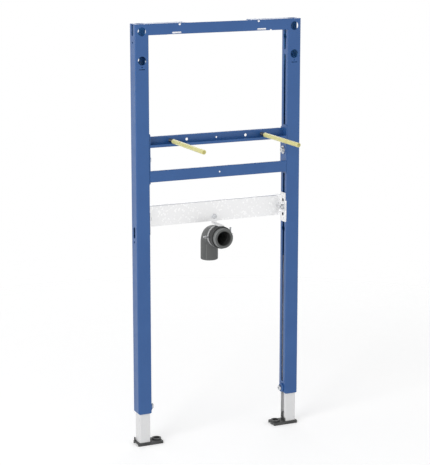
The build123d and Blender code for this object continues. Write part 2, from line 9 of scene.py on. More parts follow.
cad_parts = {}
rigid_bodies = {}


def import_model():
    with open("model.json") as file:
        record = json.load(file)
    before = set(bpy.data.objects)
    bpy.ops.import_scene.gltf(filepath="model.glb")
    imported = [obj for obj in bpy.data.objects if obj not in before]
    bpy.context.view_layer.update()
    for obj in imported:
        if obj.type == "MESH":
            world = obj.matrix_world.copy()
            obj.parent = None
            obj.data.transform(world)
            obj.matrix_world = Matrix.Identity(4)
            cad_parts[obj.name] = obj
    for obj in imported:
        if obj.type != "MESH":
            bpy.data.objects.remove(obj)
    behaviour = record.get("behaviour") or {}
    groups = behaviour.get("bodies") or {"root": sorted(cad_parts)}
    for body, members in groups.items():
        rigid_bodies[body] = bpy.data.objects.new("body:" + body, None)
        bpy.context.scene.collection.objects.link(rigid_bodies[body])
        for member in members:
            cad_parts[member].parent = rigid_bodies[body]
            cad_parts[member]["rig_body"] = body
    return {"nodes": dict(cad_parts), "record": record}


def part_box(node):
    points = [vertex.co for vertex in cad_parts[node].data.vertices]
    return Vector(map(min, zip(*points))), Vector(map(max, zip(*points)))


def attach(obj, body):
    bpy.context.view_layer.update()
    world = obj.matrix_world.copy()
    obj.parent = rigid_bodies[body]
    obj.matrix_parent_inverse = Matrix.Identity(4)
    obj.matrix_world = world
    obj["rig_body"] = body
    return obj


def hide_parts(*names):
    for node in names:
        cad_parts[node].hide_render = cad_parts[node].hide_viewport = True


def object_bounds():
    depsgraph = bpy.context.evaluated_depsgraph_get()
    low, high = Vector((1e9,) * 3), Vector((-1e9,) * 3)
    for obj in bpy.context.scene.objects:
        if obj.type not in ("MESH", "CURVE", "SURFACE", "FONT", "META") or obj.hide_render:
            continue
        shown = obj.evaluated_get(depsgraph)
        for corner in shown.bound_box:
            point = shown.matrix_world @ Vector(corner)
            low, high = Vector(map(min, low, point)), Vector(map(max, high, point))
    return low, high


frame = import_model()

bl_info = {
    "name": "Basin Installation Frame",
    "version": (1, 0, 0),
    "blender": (4, 5, 0),
    "location": "View3D > Sidebar > Basin Frame",
    "description": "Dresses a steel frame for a wall-hung basin: folded steel, studs, waste bend and feet",
    "category": "Add Mesh",
}

CAD_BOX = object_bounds()
SIDES = {"left": -1, "right": 1}      # each side's direction along X
SLOT_OF = {row["node"]: row["material_slot"] for row in frame["record"]["subparts"]}
WELD_DISTANCE = 1e-6      # corners of a copied CAD mesh that are one corner
FLAT_ANGLE = 0.2          # degrees between triangles that are one flat face
SMOOTH_ANGLE = 32.0       # degrees past which an edge is sharp
FLAT_WEIGHT = 100         # how strongly large faces keep their normals beside eased edges
FACING = 0.5              # cosine past which a face looks along an axis
QUARTER_TURN = math.pi / 2
FULL_TURN = 2 * math.pi

# Faces round and along the round shapes
BEND_STEPS = 64           # round the bend and its seal
TURN_STEPS = 20           # along the bend's turn
HEAD_STEPS = 48           # round nuts, heads and washers
SLEEVE_STEPS = 40         # round sleeves and pads
RIVET_STEPS = 32          # round the clip's rivet and its screw's head
THREAD_STEPS = 28         # round threads and rods
RECESS_STEPS = 24         # round the recesses in heads
RIB_STEPS = 12            # round the bend's guide rib
BEAD_STEPS = 10           # round weld beads
SEAM_STEPS = 6            # round the bend's mould seam
FLOOR_STEPS = 8           # along the floor

# Proportions of hexagons and threads
HEX_HALF = math.pi / 6    # half of the angle that one side of a hexagon takes
HEX_FACE = 0.95           # round end face, as a share of the circle inside the hexagon
HEX_CHAMFER = math.tan(math.radians(30.0))
THREAD_DEPTH = 0.61       # in pitches, like the places of the root's end and of the crest's two ends
ROOT_END = 0.2
CREST_START = 0.46
CREST_END = 0.6
SPARE_TURNS = 3           # turns that are cut off at the thread's ends

# Proportions of the shader groups
NOISE_MIDDLE = (0.3, 0.7)     # values that most of a noise lies between
SLOW_WAVE = 3.7               # a relief's slower waves, in widths of its fine ones
SMEAR_WAVE = 0.23             # smears of gloss, in widths of the cloud
EDGE_WAVES = 260.0            # waves per metre that bend the edges of zinc crystals
EDGE_REACH = 0.0035           # metres that they bend them by
PATCH_WAVE = 9.0              # patches with more or fewer glints, in crystals
PATCH_LOSS = (-0.16, 0.0)     # what a patch takes off a crystal's chance
GLINT_CHANCE = (0.76, 0.86)   # chances at which a crystal starts to glint and glints in full


def number(name, description, default, **options):
    """A setting of one number, or of a row of them, with none below zero."""
    options.update(name=name, description=description, default=default, min=0.0)
    if isinstance(default, tuple):
        return FloatVectorProperty(size=len(default), **options)
    return FloatProperty(**options)


def colour(name, description, default):
    return number(name, description, default, max=1.0, subtype="COLOR")


def length(name, description, default):
    return number(name, description, default, unit="LENGTH", precision=6)


def share(name, description, default):
    slider = {} if isinstance(default, tuple) else {"subtype": "FACTOR"}
    return number(name, description, default, max=1.0, **slider)


def spot(name, description, default):
    return FloatVectorProperty(name=name, description=description, default=default, subtype="TRANSLATION")


def angle(name, description, degrees):
    return FloatProperty(name=name, description=description, default=math.radians(degrees), subtype="ANGLE")


class CoatSettings(bpy.types.PropertyGroup):
    """Blue powder coat of the uprights, rail and crossbars"""
    blue: colour("Blue", "Main colour of the coat", (0.0215, 0.090, 0.274))
    blue_thin: colour("Thin blue", "Colour where the coat is a little thinner", (0.027, 0.102, 0.298))
    peel_size: length("Peel size", "Width of the coat's fine waves", 0.0016)
    peel_depth: length("Peel depth", "Height of the coat's fine waves", 0.00003)
    gloss: share("Gloss", "Roughness of the shiniest and dullest patches", (0.30, 0.40))
    cloud_size: length("Cloud size", "Width of the slow changes of tone", 0.09)
    # The pale inside colour is painted light: a paler blue inside the uprights' upper ends for light falling
    # in, fading to the main blue further down.
    inside: colour("Inside", "Painted light inside the uprights' upper ends, pale blue", (0.054, 0.205, 0.46))
    painted_light_fade: length("Inside fade", "From the top to where it is gone and starts to fade", (0.15, 0.11))


class ZincSettings(bpy.types.PropertyGroup):
    """Galvanised sheet of the waste bar and legs, plating of the screws, and the rods' dark colour, which is
    painted shade
    """
    sheet_dark: colour("Dark flake", "Darkest crystals of the galvanised sheet", (0.875, 0.875, 0.878))
    sheet_pale: colour("Pale flake", "Palest crystals of the galvanised sheet", (0.895, 0.895, 0.898))
    glint: colour("Glint", "Crystals that catch the light", (0.985, 0.985, 0.985))
    tube_dark: colour("Tube, dark", "Darkest patches of the legs", (0.725, 0.725, 0.73))
    tube_pale: colour("Tube, pale", "Palest patches of the legs", (0.740, 0.740, 0.745))
    tube_metal: share("Tube metal", "Share of bare metal in the legs' matt zinc", 0.12)
    clip_dark: colour("Clip, dark", "Darkest patches of the clip", (0.50, 0.50, 0.505))
    clip_pale: colour("Clip, pale", "Palest patches of the clip", (0.55, 0.55, 0.555))
    flake_size: length("Flake size", "Width of a crystal of the galvanised sheet", 0.0038)
    flake_relief: length("Flake relief", "Height between crystals", 0.000003)
    flake_gloss: share("Flake gloss", "Roughness of the darkest and palest crystals", (0.50, 0.58))
    bright: colour("Bright zinc", "Plating of the screws", (0.70, 0.72, 0.75))
    bright_dull: colour("Dull zinc", "Plating of the screws where it is stained", (0.56, 0.57, 0.58))
    # The rods' dark colour is painted shade, for the dark round them in the upper crossbar's trough; their
    # paler patches differ at random.
    rod: colour("Rod", "Painted shade: dark colour of the threaded rods", (0.055, 0.060, 0.072))
    rod_worn: colour("Rod, worn", "Plating of the rods where it is rubbed", (0.110, 0.115, 0.125))
    stain_size: length("Stain size", "Width of the plating's stains", 0.006)
    plate_gloss: share("Plate gloss", "Roughness of the dullest and shiniest plating", (0.38, 0.22))
    tooth_size: length("Tooth size", "Width of the plating's fine tooth", 0.0007)
    tooth_depth: length("Tooth depth", "Height of the plating's fine tooth", 0.00001)


class PlasticSettings(bpy.types.PropertyGroup):
    """Sleeves, bend, seal and foot plates"""
    sleeve: colour("Sleeve", "Pale yellow of the rods' sleeves", (0.72, 0.69, 0.30))
    sleeve_deep: colour("Sleeve, deep", "Yellow where the sleeve is thicker", (0.65, 0.60, 0.23))
    # The closed end's darker olive is painted shade: that end faces the front and is coloured for the shade
    # it is in.
    sleeve_end_shade: colour("Sleeve end", "Olive of the sleeve's closed end", (0.30, 0.28, 0.09))
    sleeve_gloss: share("Sleeve gloss", "Roughness between and on the drawn lines", (0.30, 0.42))
    sleeve_cloud: length("Sleeve cloud", "Width of the sleeve's slow changes of tone", 0.02)
    line_size: length("Line size", "Width of the lines drawn along the sleeve", 0.0012)
    line_depth: length("Line depth", "Height of the lines drawn along the sleeve", 0.00003)
    line_squeeze: share("Line squeeze", "Width of a drawn line, as a share of its length", 0.02)
    bend: colour("Bend", "Grey of the waste bend", (0.080, 0.083, 0.082))
    bend_pale: colour("Bend, pale", "Grey of the bend's flow marks", (0.094, 0.098, 0.096))
    bend_gloss: share("Bend gloss", "Lowest and highest roughness of the bend", (0.40, 0.52))
    # The rib's pale grey is a painted highlight: it stands in for a thin line of light along the spigot.
    rib: colour("Rib", "Grey of the rib on the bend's spigot", (0.21, 0.215, 0.21))
    rib_gloss: share("Rib gloss", "Lowest and highest roughness of the rib", (0.36, 0.46))
    collar: colour("Collar", "Dark grey of the bend's collar", (0.042, 0.043, 0.043))
    collar_pale: colour("Collar, rubbed", "Grey of the collar where it is rubbed", (0.056, 0.057, 0.057))
    collar_gloss: share("Collar gloss", "Lowest and highest roughness of the collar", (0.42, 0.54))
    collar_shine: share("Collar shine", "Strength of the collar's reflections", 0.12)
    seal: colour("Seal", "Grey of the seal's front", (0.078, 0.081, 0.080))
    seal_pale: colour("Seal, bloomed", "Grey of the bloom on the seal's front", (0.100, 0.104, 0.102))
    # The seal's side is painted light: a paler grey than its front for the light that falls on it.
    seal_side: colour("Seal side", "Grey of the seal's side", (0.205, 0.212, 0.209))
    seal_gloss: share("Seal gloss", "Lowest and highest roughness of the seal", (0.52, 0.66))
    foot: colour("Foot", "Dark grey of the foot plates", (0.034, 0.035, 0.035))
    foot_pale: colour("Foot, rubbed", "Grey of the foot plates where they are rubbed", (0.068, 0.069, 0.069))
    foot_gloss: share("Foot gloss", "Lowest and highest roughness of the foot plates", (0.42, 0.58))
    cloud_size: length("Cloud size", "Width of the slow changes of tone in moulded plastic", 0.03)
    pipe_grain: length("Pipe grain", "Width and height of the grain on the bend", (0.0006, 0.00002))
    seal_grain: length("Seal grain", "Width and height of the grain on the seal", (0.00042, 0.000024))
    foot_grain: length("Foot grain", "Width and height of the grain on the foot plates", (0.0006, 0.00004))


class EdgeSettings(bpy.types.PropertyGroup):
    """Easing of the edges"""
    sheet: length("Sheet edge", "Rounding of cut sheet", 0.00035)
    moulded: length("Moulded edge", "Rounding of moulded plastic", 0.0006)
    turned: length("Turned edge", "Rounding of turned and pressed hardware", 0.00025)
    segments: IntProperty(name="Segments", description="Faces across an eased edge", default=2, min=1)


class StudSettings(bpy.types.PropertyGroup):
    """Basin studs: threaded rods with sleeves and nuts"""
    pitch: length("Pitch", "Thread pitch of the rods", 0.0015)
    thread_shown: length("Thread shown", "Length of a rod's thread behind its sleeve", 0.040)
    core_depth: share("Core depth", "Depth of a rod's plain end below its thread, in pitches", 0.3)
    nut_bore: length("Nut bore", "Radius of the bore in a rod's nut", 0.0046)
    play: length("Play", "Gap between a rod and its sleeve", 0.0003)
    crown: length("Crown", "Chamfer of a sleeve's closed end", 0.0008)
    dish: length("Dish", "Depth of the dish in a sleeve's closed end", 0.0012)


class ScrewSettings(bpy.types.PropertyGroup):
    """Clamp screws, bracket bolt, lock screws, and the clip's screw and rivet"""
    radius: length("Radius", "Radius of the clamp screws, the bracket bolt and the lock screws", 0.004)
    pitch: length("Pitch", "Thread pitch of the same screws", 0.00125)
    recess: length("Recess", "Radius and depth of the recess in clamp screws and bolt", (0.0024, 0.0012))
    clamp_head: length("Clamp head", "Corner radius and height of the clamp screws' heads", (0.0075, 0.0055))
    washer: length("Washer", "Thickness of the clamp screws' washers", 0.002)
    bolt_head: length("Bolt head", "Height of the bolt's head and nut", 0.005)
    bolt_tail: length("Bolt tail", "Bolt's thread past its nut", 0.002)
    bolt_nut_bore: length("Bolt nut bore", "Radius of the bore in the bolt's nut", 0.0035)
    lock_head: length("Lock head", "Corner radius and height of the lock screws' heads", (0.008, 0.006))
    lock_recess: length("Lock recess", "Radius and depth of the recess in lock screws", (0.0028, 0.0025))
    lock_pad: length("Lock pad", "Thickness of the pads on the lock screws", 0.0014)
    clip_radius: length("Clip radius", "Radius of the clip's screw", 0.0024)
    clip_pitch: length("Clip pitch", "Thread pitch of the clip's screw", 0.0008)
    clip_head: length("Clip head", "Height of the head and of the nut on the clip's screw", 0.004)
    clip_head_edge: length("Clip head edge", "Chamfer of the head on the clip's screw", 0.001)
    clip_recess: length("Clip recess", "Radius and depth of the recess in that head", (0.0015, 0.0015))
    clip_nut_bore: length("Clip nut bore", "Radius of the bore in the nut on the clip's screw", 0.0020)
    rivet_radius: length("Rivet radius", "Radius of the clip's rivet", 0.002)
    rivet_head: length("Rivet head", "Radius and height of the rivet's heads", (0.003, 0.001))
    rivet_seat: length("Rivet seat", "From the clip's middle to a rivet head's seat", 0.0019)


class BarSettings(bpy.types.PropertyGroup):
    """Spare holes in the waste bar's end plates"""
    hole_radius: length("Hole radius", "Radius of the spare holes", 0.005)
    hole_pitch: length("Hole pitch", "From a clamp screw to the spare hole above or below it", 0.0205)


class WeldSettings(bpy.types.PropertyGroup):
    """Dressed welds at the rail's ends and beads behind the bars"""
    radius: length("Radius", "Half width of a weld bead", 0.0017)
    waist: share("Waist", "Half width between a bead's ripples, as a share", 0.84)
    taper: share("Taper", "Half width of a bead's ends, as a share", 1 / 3)
    step: length("Step", "Distance between the ripples of a bead", 0.0011)
    margin: length("Margin", "From a bar's edge to the end of its bead", 0.004)
    sheet: length("Sheet", "Thickness of the bars' and uprights' sheet", 0.002)
    fold: length("Fold", "Radius of the uprights' corners and the rail's fold", 0.003)
    lap: length("Lap", "Reach of a dressed weld over the steel on each side", 0.0012)
    crown: length("Crown", "Height of a dressed weld over the steel", 0.0002)


class BendSettings(bpy.types.PropertyGroup):
    """Waste bend"""
    pipe_radius: length("Pipe radius", "Outside of the pipe", 0.025)
    pipe_wall: length("Pipe wall", "Wall of the pipe", 0.003)
    turn_radius: length("Turn radius", "Radius of the bend's middle line", 0.030)
    socket_radius: length("Socket radius", "Outside of the socket", 0.030)
    socket_length: length("Socket length", "Socket behind its collar", 0.016)
    collar_length: length("Collar length", "Collar at the socket's mouth", 0.023)
    plug_depth: length("Plug depth", "Recess that holds the seal", 0.018)
    chamfer: length("Chamfer", "Chamfer of the spigot's end", 0.002)
    seam_radius: length("Seam radius", "Half width of the mould seam", 0.0004)
    rib_radius: length("Rib radius", "Half width of the guide rib on the spigot", 0.0011)
    rib_sink: share("Rib sink", "Depth of the rib's middle in the pipe, as a share of its half width", 0.25)
    rib_angle: angle("Rib angle", "Guide rib's angle from the front, to the left", 44.0)


class SealSettings(bpy.types.PropertyGroup):
    """Seal in the bend's mouth, measured from its front"""
    bore: length("Bore", "Radius of the seal's bore", 0.020)
    play: length("Play", "Gap between the seal and its recess", 0.0003)
    edge: length("Edge", "Depth of the chamfers at the seal's front", 0.001)
    rim: length("Rim", "Width of the chamfer at the bore", 0.0012)
    grooves: length("Grooves", "Places of the two grooves in the seal's side", (0.0045, 0.0085))
    groove_depth: length("Groove depth", "Depth of a groove", 0.0007)
    groove_width: length("Groove width", "Width of a groove at the seal's side", 0.0018)
    groove_slope: length("Groove slope", "Width of a groove's sloped side", 0.0005)
    hollow: length("Hollow", "Start and end of the hollow behind the seal's lip", (0.011, 0.022))
    hollow_depth: length("Hollow depth", "Depth of the hollow", 0.0015)
    hollow_slope: length("Hollow slope", "Width of the hollow's sloped ends", 0.002)


class StageSettings(bpy.types.PropertyGroup):
    """Camera, floor and light"""
    camera: spot("Camera", "Place of the camera", (-1.900, -4.077, 1.558))
    tilt: angle("Tilt", "Camera's tilt from straight down", 77.86)
    turn: angle("Turn", "Camera's turn from +Y", -24.92)
    lens: number("Lens", "Focal length in millimetres", 126.66)
    floor_size: length("Floor size", "Side of the floor", 6.0)
    floor_fade: length("Floor fade", "From its middle to where it starts to fade and has faded", (0.9, 2.4))
    floor: colour("Floor", "Colour of the floor", (0.90, 0.90, 0.90))
    floor_rough: share("Floor roughness", "Roughness of the floor", 0.9)
    floor_glow: share("Floor glow", "Light that the floor adds to itself, seen directly", 0.235)
    sky: number("Sky", "Strength of the even light from all round", 0.90)
    zenith: share("Zenith", "Strength of the sky overhead, as a share of the horizon's", 0.6)
    dusk: share("Dusk", "Heights in the sky at which it starts and stops to dim", (0.25, 0.9))
    key: number("Key light", "Power of the lamp in front on the left, in watts", 74.0)
    key_size: length("Key size", "Width and height of that lamp", (2.4, 2.4))
    key_place: spot("Key place", "Place of that lamp", (-3.7, -2.2, 2.3))
    fill: number("Fill light", "Power of the lamp in front on the right, in watts", 4.0)
    fill_size: length("Fill size", "Width and height of that lamp", (2.4, 2.4))
    fill_place: spot("Fill place", "Place of that lamp", (3.0, -2.6, 1.9))
    back: number("Back light", "Power of the wide lamp behind, in watts", 32.0)
    back_size: length("Back size", "Width and height of that lamp", (4.0, 1.6))
    back_place: spot("Back place", "Place of that lamp", (1.9, 4.2, 2.5))


class FrameSettings(bpy.types.PropertyGroup):
    """All the settings of the basin frame"""
    coat: PointerProperty(type=CoatSettings, name="Coat", description="Blue powder coat")
    zinc: PointerProperty(type=ZincSettings, name="Zinc", description="Galvanised sheet and plating")
    plastic: PointerProperty(type=PlasticSettings, name="Plastic", description="Sleeves, bend, seal and feet")
    edges: PointerProperty(type=EdgeSettings, name="Edges", description="Easing of the edges")
    stud: PointerProperty(type=StudSettings, name="Stud", description="Rods, sleeves and nuts")
    screw: PointerProperty(type=ScrewSettings, name="Screw", description="Screws, bolt and rivet")
    bar: PointerProperty(type=BarSettings, name="Bar", description="Spare holes of the waste bar")
    weld: PointerProperty(type=WeldSettings, name="Weld", description="Dressed welds and beads")
    bend: PointerProperty(type=BendSettings, name="Bend", description="Waste bend")
    seal: PointerProperty(type=SealSettings, name="Seal", description="Seal in the bend's mouth")
    stage: PointerProperty(type=StageSettings, name="Stage", description="Camera, floor and light")


def settings():
    return bpy.context.scene.basin_frame


# Node trees

def connect(tree, node, inputs):
    """Give each input of a node a value or a link."""
    for key, value in inputs.items():
        if isinstance(value, bpy.types.NodeSocket):
            tree.links.new(value, node.inputs[key])
        else:
            node.inputs[key].default_value = value


def add(tree, kind, inputs=None, **options):
    """Add a node, set its options, and connect its inputs."""
    node = tree.nodes.new(kind)
    for option, value in options.items():
        setattr(node, option, value)
    connect(tree, node, inputs or {})
    return node


def maths(tree, operation, first, second):
    return add(tree, "ShaderNodeMath", {0: first, 1: second}, operation=operation).outputs[0]


def remap(tree, value, old=(0.0, 1.0), new=(0.0, 1.0), **options):
    """Carry a value from one range to another."""
    ends = {"Value": value, "From Min": old[0], "From Max": old[1], "To Min": new[0], "To Max": new[1]}
    return add(tree, "ShaderNodeMapRange", ends, **options).outputs["Result"]


def object_coords(tree):
    return add(tree, "ShaderNodeTexCoord").outputs["Object"]


def object_noise(tree, size, detail, stretch=(1.0, 1.0, 1.0)):
    """Noise on Object coordinates whose features are about one size across."""
    place_in = {"Vector": object_coords(tree), "Scale": stretch}
    mapped = add(tree, "ShaderNodeMapping", place_in).outputs["Vector"]
    inputs = {"Vector": mapped, "Scale": maths(tree, "DIVIDE", 1.0, size), "Detail": detail}
    return add(tree, "ShaderNodeTexNoise", inputs).outputs["Fac"]


def new_group(name, outputs):
    """Start a shader group that takes a size; give its tree, the size and its output node."""
    tree = bpy.data.node_groups.new(name, "ShaderNodeTree")
    tree.interface.new_socket(name="Size", in_out="INPUT", socket_type="NodeSocketFloat")
    for socket in outputs:
        tree.interface.new_socket(name=socket, in_out="OUTPUT", socket_type="NodeSocketFloat")
    size = tree.nodes.new("NodeGroupInput").outputs["Size"]
    return tree, size, tree.nodes.new("NodeGroupOutput")


def fine_relief():
    """Group: the fine ups and downs of a coat or a moulded skin."""
    tree, size, put = new_group("Fine relief", ("Height",))
    fine = object_noise(tree, size, detail=2.0)
    slow = object_noise(tree, maths(tree, "MULTIPLY", size, SLOW_WAVE), detail=1.0)
    total = maths(tree, "ADD", fine, slow)
    connect(tree, put, {"Height": maths(tree, "DIVIDE", total, 2.0)})
    return tree


def slow_cloud():
    """Group: slow changes of tone, and a finer smear for gloss."""
    tree, size, put = new_group("Slow cloud", ("Cloud", "Smear"))
    cloud = object_noise(tree, size, detail=3.0)
    smear = object_noise(tree, maths(tree, "MULTIPLY", size, SMEAR_WAVE), detail=5.0)
    connect(tree, put, {"Cloud": remap(tree, cloud, NOISE_MIDDLE), "Smear": remap(tree, smear, NOISE_MIDDLE)})
    return tree


def zinc_flake():
    """Group: crystals of galvanised sheet, each with its own tone, some of which glint."""
    tree, size, put = new_group("Zinc flake", ("Tone", "Glint"))
    coords = object_coords(tree)
    waves = {"Vector": coords, "Scale": EDGE_WAVES, "Detail": 2.0}
    wander = add(tree, "ShaderNodeTexNoise", waves).outputs["Color"]
    bent = add(tree, "ShaderNodeVectorMath", {0: wander, "Scale": EDGE_REACH}, operation="SCALE").outputs[0]
    place_bent = add(tree, "ShaderNodeVectorMath", {0: coords, 1: bent}, operation="ADD").outputs[0]
    cells = {"Vector": place_bent, "Scale": maths(tree, "DIVIDE", 1.0, size)}
    crystal = add(tree, "ShaderNodeTexVoronoi", cells).outputs["Color"]
    split = add(tree, "ShaderNodeSeparateColor", {"Color": crystal}).outputs
    patch = object_noise(tree, maths(tree, "MULTIPLY", size, PATCH_WAVE), detail=2.0)
    chance = maths(tree, "ADD", split["Green"], remap(tree, patch, NOISE_MIDDLE, PATCH_LOSS))
    connect(tree, put, {"Tone": split["Red"], "Glint": remap(tree, chance, GLINT_CHANCE)})
    return tree


GROUPS = {"Fine relief": fine_relief, "Slow cloud": slow_cloud, "Zinc flake": zinc_flake}


def effect(tree, name, size):
    """Place a shared effect in a material, at a size of its own."""
    group = bpy.data.node_groups.get(name) or GROUPS[name]()
    return add(tree, "ShaderNodeGroup", {"Size": size}, node_tree=group).outputs


def tint(tree, mask, low, high):
    """Mix two colours by a mask; the first may be a socket."""
    first = low if isinstance(low, bpy.types.NodeSocket) else (*low, 1.0)
    inputs = {"Factor": mask, "A": first, "B": (*high, 1.0)}
    return add(tree, "ShaderNodeMix", inputs, data_type="RGBA").outputs["Result"]


def bump(tree, height, depth):
    """A normal for a height that runs from 0 to 1 over a real depth."""
    inputs = {"Strength": 1.0, "Distance": depth, "Height": height}
    return add(tree, "ShaderNodeBump", inputs).outputs["Normal"]


def seen_ray(tree):
    """1 for a ray that shows what it meets, to the camera or in a reflection, and 0 for one that lights."""
    paths = add(tree, "ShaderNodeLightPath").outputs
    seen = paths["Is Camera Ray"]
    for other in ("Is Glossy Ray", "Is Transmission Ray"):
        seen = maths(tree, "MAXIMUM", seen, paths[other])
    return seen


# Finishes

def new_finish(name):
    material = bpy.data.materials.new(name)
    material.use_nodes = True
    tree = material.node_tree
    return material, tree, tree.nodes["Principled BSDF"]


def powder_coat(name):
    """A coat with a smeared gloss and a fine peel; give its material, its tree, its shader and its cloud."""
    s = settings().coat
    material, tree, shader = new_finish(name)
    cloud = effect(tree, "Slow cloud", s.cloud_size)
    peel = effect(tree, "Fine relief", s.peel_size)
    connect(tree, shader, {"Roughness": remap(tree, cloud["Smear"], new=s.gloss),
                           "Normal": bump(tree, peel["Height"], s.peel_depth)})
    return material, tree, shader, cloud


def blue_coat():
    s = settings().coat
    material, tree, shader, cloud = powder_coat("Blue powder coat")
    connect(tree, shader, {"Base Color": tint(tree, cloud["Cloud"], s.blue, s.blue_thin)})
    return material


def inside_coat_painted_light():
    """Coat inside an upright, with painted light: pale at the upper end, where light falls in, and the main
    blue further down.
    """
    s = settings().coat
    material, tree, shader, _ = powder_coat("Coat inside the uprights")
    height = add(tree, "ShaderNodeSeparateXYZ", {"Vector": object_coords(tree)}).outputs["Z"]
    # Painted light: pale towards the upper end, gone below the fade.
    painted_top_light = remap(tree, height, [CAD_BOX[1].z - drop for drop in s.painted_light_fade])
    connect(tree, shader, {"Base Color": tint(tree, painted_top_light, s.blue, s.inside)})
    return material


def zinc_coat(name, dark, pale, glint, metal=1.0):
    """Hot-dip zinc: crystals of nearly one tone, and a few that catch the light."""
    s = settings().zinc
    material, tree, shader = new_finish(name)
    flake = effect(tree, "Zinc flake", s.flake_size)
    plain = tint(tree, flake["Tone"], dark, pale)
    connect(tree, shader, {"Base Color": tint(tree, flake["Glint"], plain, glint),
                           "Roughness": remap(tree, flake["Tone"], new=s.flake_gloss),
                           "Metallic": metal,
                           "Normal": bump(tree, flake["Tone"], s.flake_relief)})
    return material


def galvanised():
    s = settings().zinc
    return zinc_coat("Galvanised sheet", s.sheet_dark, s.sheet_pale, s.glint)


def galvanised_tube():
    s = settings().zinc
    return zinc_coat("Galvanised tube", s.tube_dark, s.tube_pale, s.tube_pale, s.tube_metal)


def clip_steel():
    s = settings().zinc
    return zinc_coat("Clip steel", s.clip_dark, s.clip_pale, s.clip_pale)


def plated(name, dull, bright):
    """Thin plating on a screw or rod: stains, a smeared gloss and a fine tooth."""
    s = settings().zinc
    material, tree, shader = new_finish(name)
    cloud = effect(tree, "Slow cloud", s.stain_size)
    tooth = effect(tree, "Fine relief", s.tooth_size)
    connect(tree, shader, {"Base Color": tint(tree, cloud["Cloud"], dull, bright),
                           "Roughness": remap(tree, cloud["Smear"], new=s.plate_gloss),
                           "Metallic": 1.0,
                           "Normal": bump(tree, tooth["Height"], s.tooth_depth)})
    return material


def bright_zinc():
    s = settings().zinc
    return plated("Bright zinc plate", s.bright_dull, s.bright)


# Painted shade: a near-black plating for the rods, and for the walls of the bar's spare holes.
def dark_shade_plate():
    s = settings().zinc
    return plated("Dark plate", s.rod, s.rod_worn)


def yellow_plastic(name, pale, deep):
    """A drawn plastic tube: fine lines along it and a slow change of depth."""
    s = settings().plastic
    material, tree, shader = new_finish(name)
    noise = object_noise(tree, s.line_size, detail=3.0, stretch=(1.0, s.line_squeeze, 1.0))
    lines = remap(tree, noise, NOISE_MIDDLE)
    cloud = effect(tree, "Slow cloud", s.sleeve_cloud)
    connect(tree, shader, {"Base Color": tint(tree, cloud["Cloud"], pale, deep),
                           "Roughness": remap(tree, lines, new=s.sleeve_gloss),
                           "Normal": bump(tree, lines, s.line_depth)})
    return material


def sleeve_plastic():
    s = settings().plastic
    return yellow_plastic("Yellow sleeve", s.sleeve, s.sleeve_deep)


# Painted shade: the sleeve's closed end is given a darker olive than its side.
def sleeve_end_shade():
    s = settings().plastic
    return yellow_plastic("Sleeve end", s.sleeve_deep, s.sleeve_end_shade)


def moulded(name, low, high, gloss, grain, shine=0.5):
    """A moulded plastic or rubber: two tones, a smeared gloss and a fine grain."""
    material, tree, shader = new_finish(name)
    cloud = effect(tree, "Slow cloud", settings().plastic.cloud_size)
    width, depth = grain
    relief = effect(tree, "Fine relief", width)
    connect(tree, shader, {"Base Color": tint(tree, cloud["Cloud"], low, high),
                           "Roughness": remap(tree, cloud["Smear"], new=gloss),
                           "Specular IOR Level": shine,
                           "Normal": bump(tree, relief["Height"], depth)})
    return material


def pipe_plastic():
    s = settings().plastic
    return moulded("Grey pipe plastic", s.bend, s.bend_pale, s.bend_gloss, s.pipe_grain)


# Painted highlight: the rib is coloured paler than the bend for the line of light along it.
def rib_highlight_plastic():
    s = settings().plastic
    return moulded("Rubbed pipe plastic", s.bend_pale, s.rib, s.rib_gloss, s.pipe_grain)


# The dark collar plastic also serves as painted shade in the seal's bore.
def collar_plastic_and_bore_shade():
    s = settings().plastic
    return moulded("Dark collar plastic", s.collar, s.collar_pale, s.collar_gloss, s.pipe_grain,
                   s.collar_shine)


def seal_rubber():
    s = settings().plastic
    return moulded("Seal rubber", s.seal, s.seal_pale, s.seal_gloss, s.seal_grain)


# Painted light: the seal's side is coloured paler than its front.
def seal_side_lit():
    s = settings().plastic
    return moulded("Bloomed rubber", s.seal_side, s.seal_side, s.seal_gloss, s.seal_grain)


def foot_plastic():
    s = settings().plastic
    return moulded("Foot plastic", s.foot, s.foot_pale, s.foot_gloss, s.foot_grain)


def pale_floor():
    """Floor that fades out, with a little light of its own for the rays that show it."""
    s = settings().stage
    material, tree, shader = new_finish("Pale floor")
    away = add(tree, "ShaderNodeVectorMath", {0: object_coords(tree)}, operation="LENGTH").outputs["Value"]
    fade = remap(tree, away, s.floor_fade, (1.0, 0.0), interpolation_type="SMOOTHSTEP")
    connect(tree, shader, {"Base Color": (*s.floor, 1.0),
                           "Roughness": s.floor_rough,
                           "Specular IOR Level": 0.0,
                           "Alpha": fade,
                           "Emission Color": (1.0, 1.0, 1.0, 1.0),
                           "Emission Strength": remap(tree, seen_ray(tree), new=(0.0, s.floor_glow))})
    return material


FINISHES = {"blue_coat": blue_coat, "galvanised": galvanised, "bright_zinc": bright_zinc,
            "sleeve_plastic": sleeve_plastic, "pipe_plastic": pipe_plastic, "seal_rubber": seal_rubber,
            "foot_plastic": foot_plastic}
MADE = {}


def finish(make):
    """The material that a function makes, made once."""
    if make not in MADE:
        MADE[make] = make()
    return MADE[make]


# Shapes

def lathe(bm, outline, steps, closed=False):
    """Spin an outline of (radius, height) points a full turn round Z."""
    verts = [bm.verts.new((radius, 0.0, height)) for radius, height in outline]
    ends = verts[1:] + verts[:1] if closed else verts[1:]
    edges = [bm.edges.new(pair) for pair in zip(verts, ends)]
    bmesh.ops.spin(bm, geom=verts + edges, cent=(0, 0, 0), axis=(0, 0, 1), dvec=(0, 0, 0), angle=FULL_TURN,
                   steps=steps, use_merge=True, use_duplicate=False)
    bmesh.ops.remove_doubles(bm, verts=bm.verts, dist=WELD_DISTANCE)


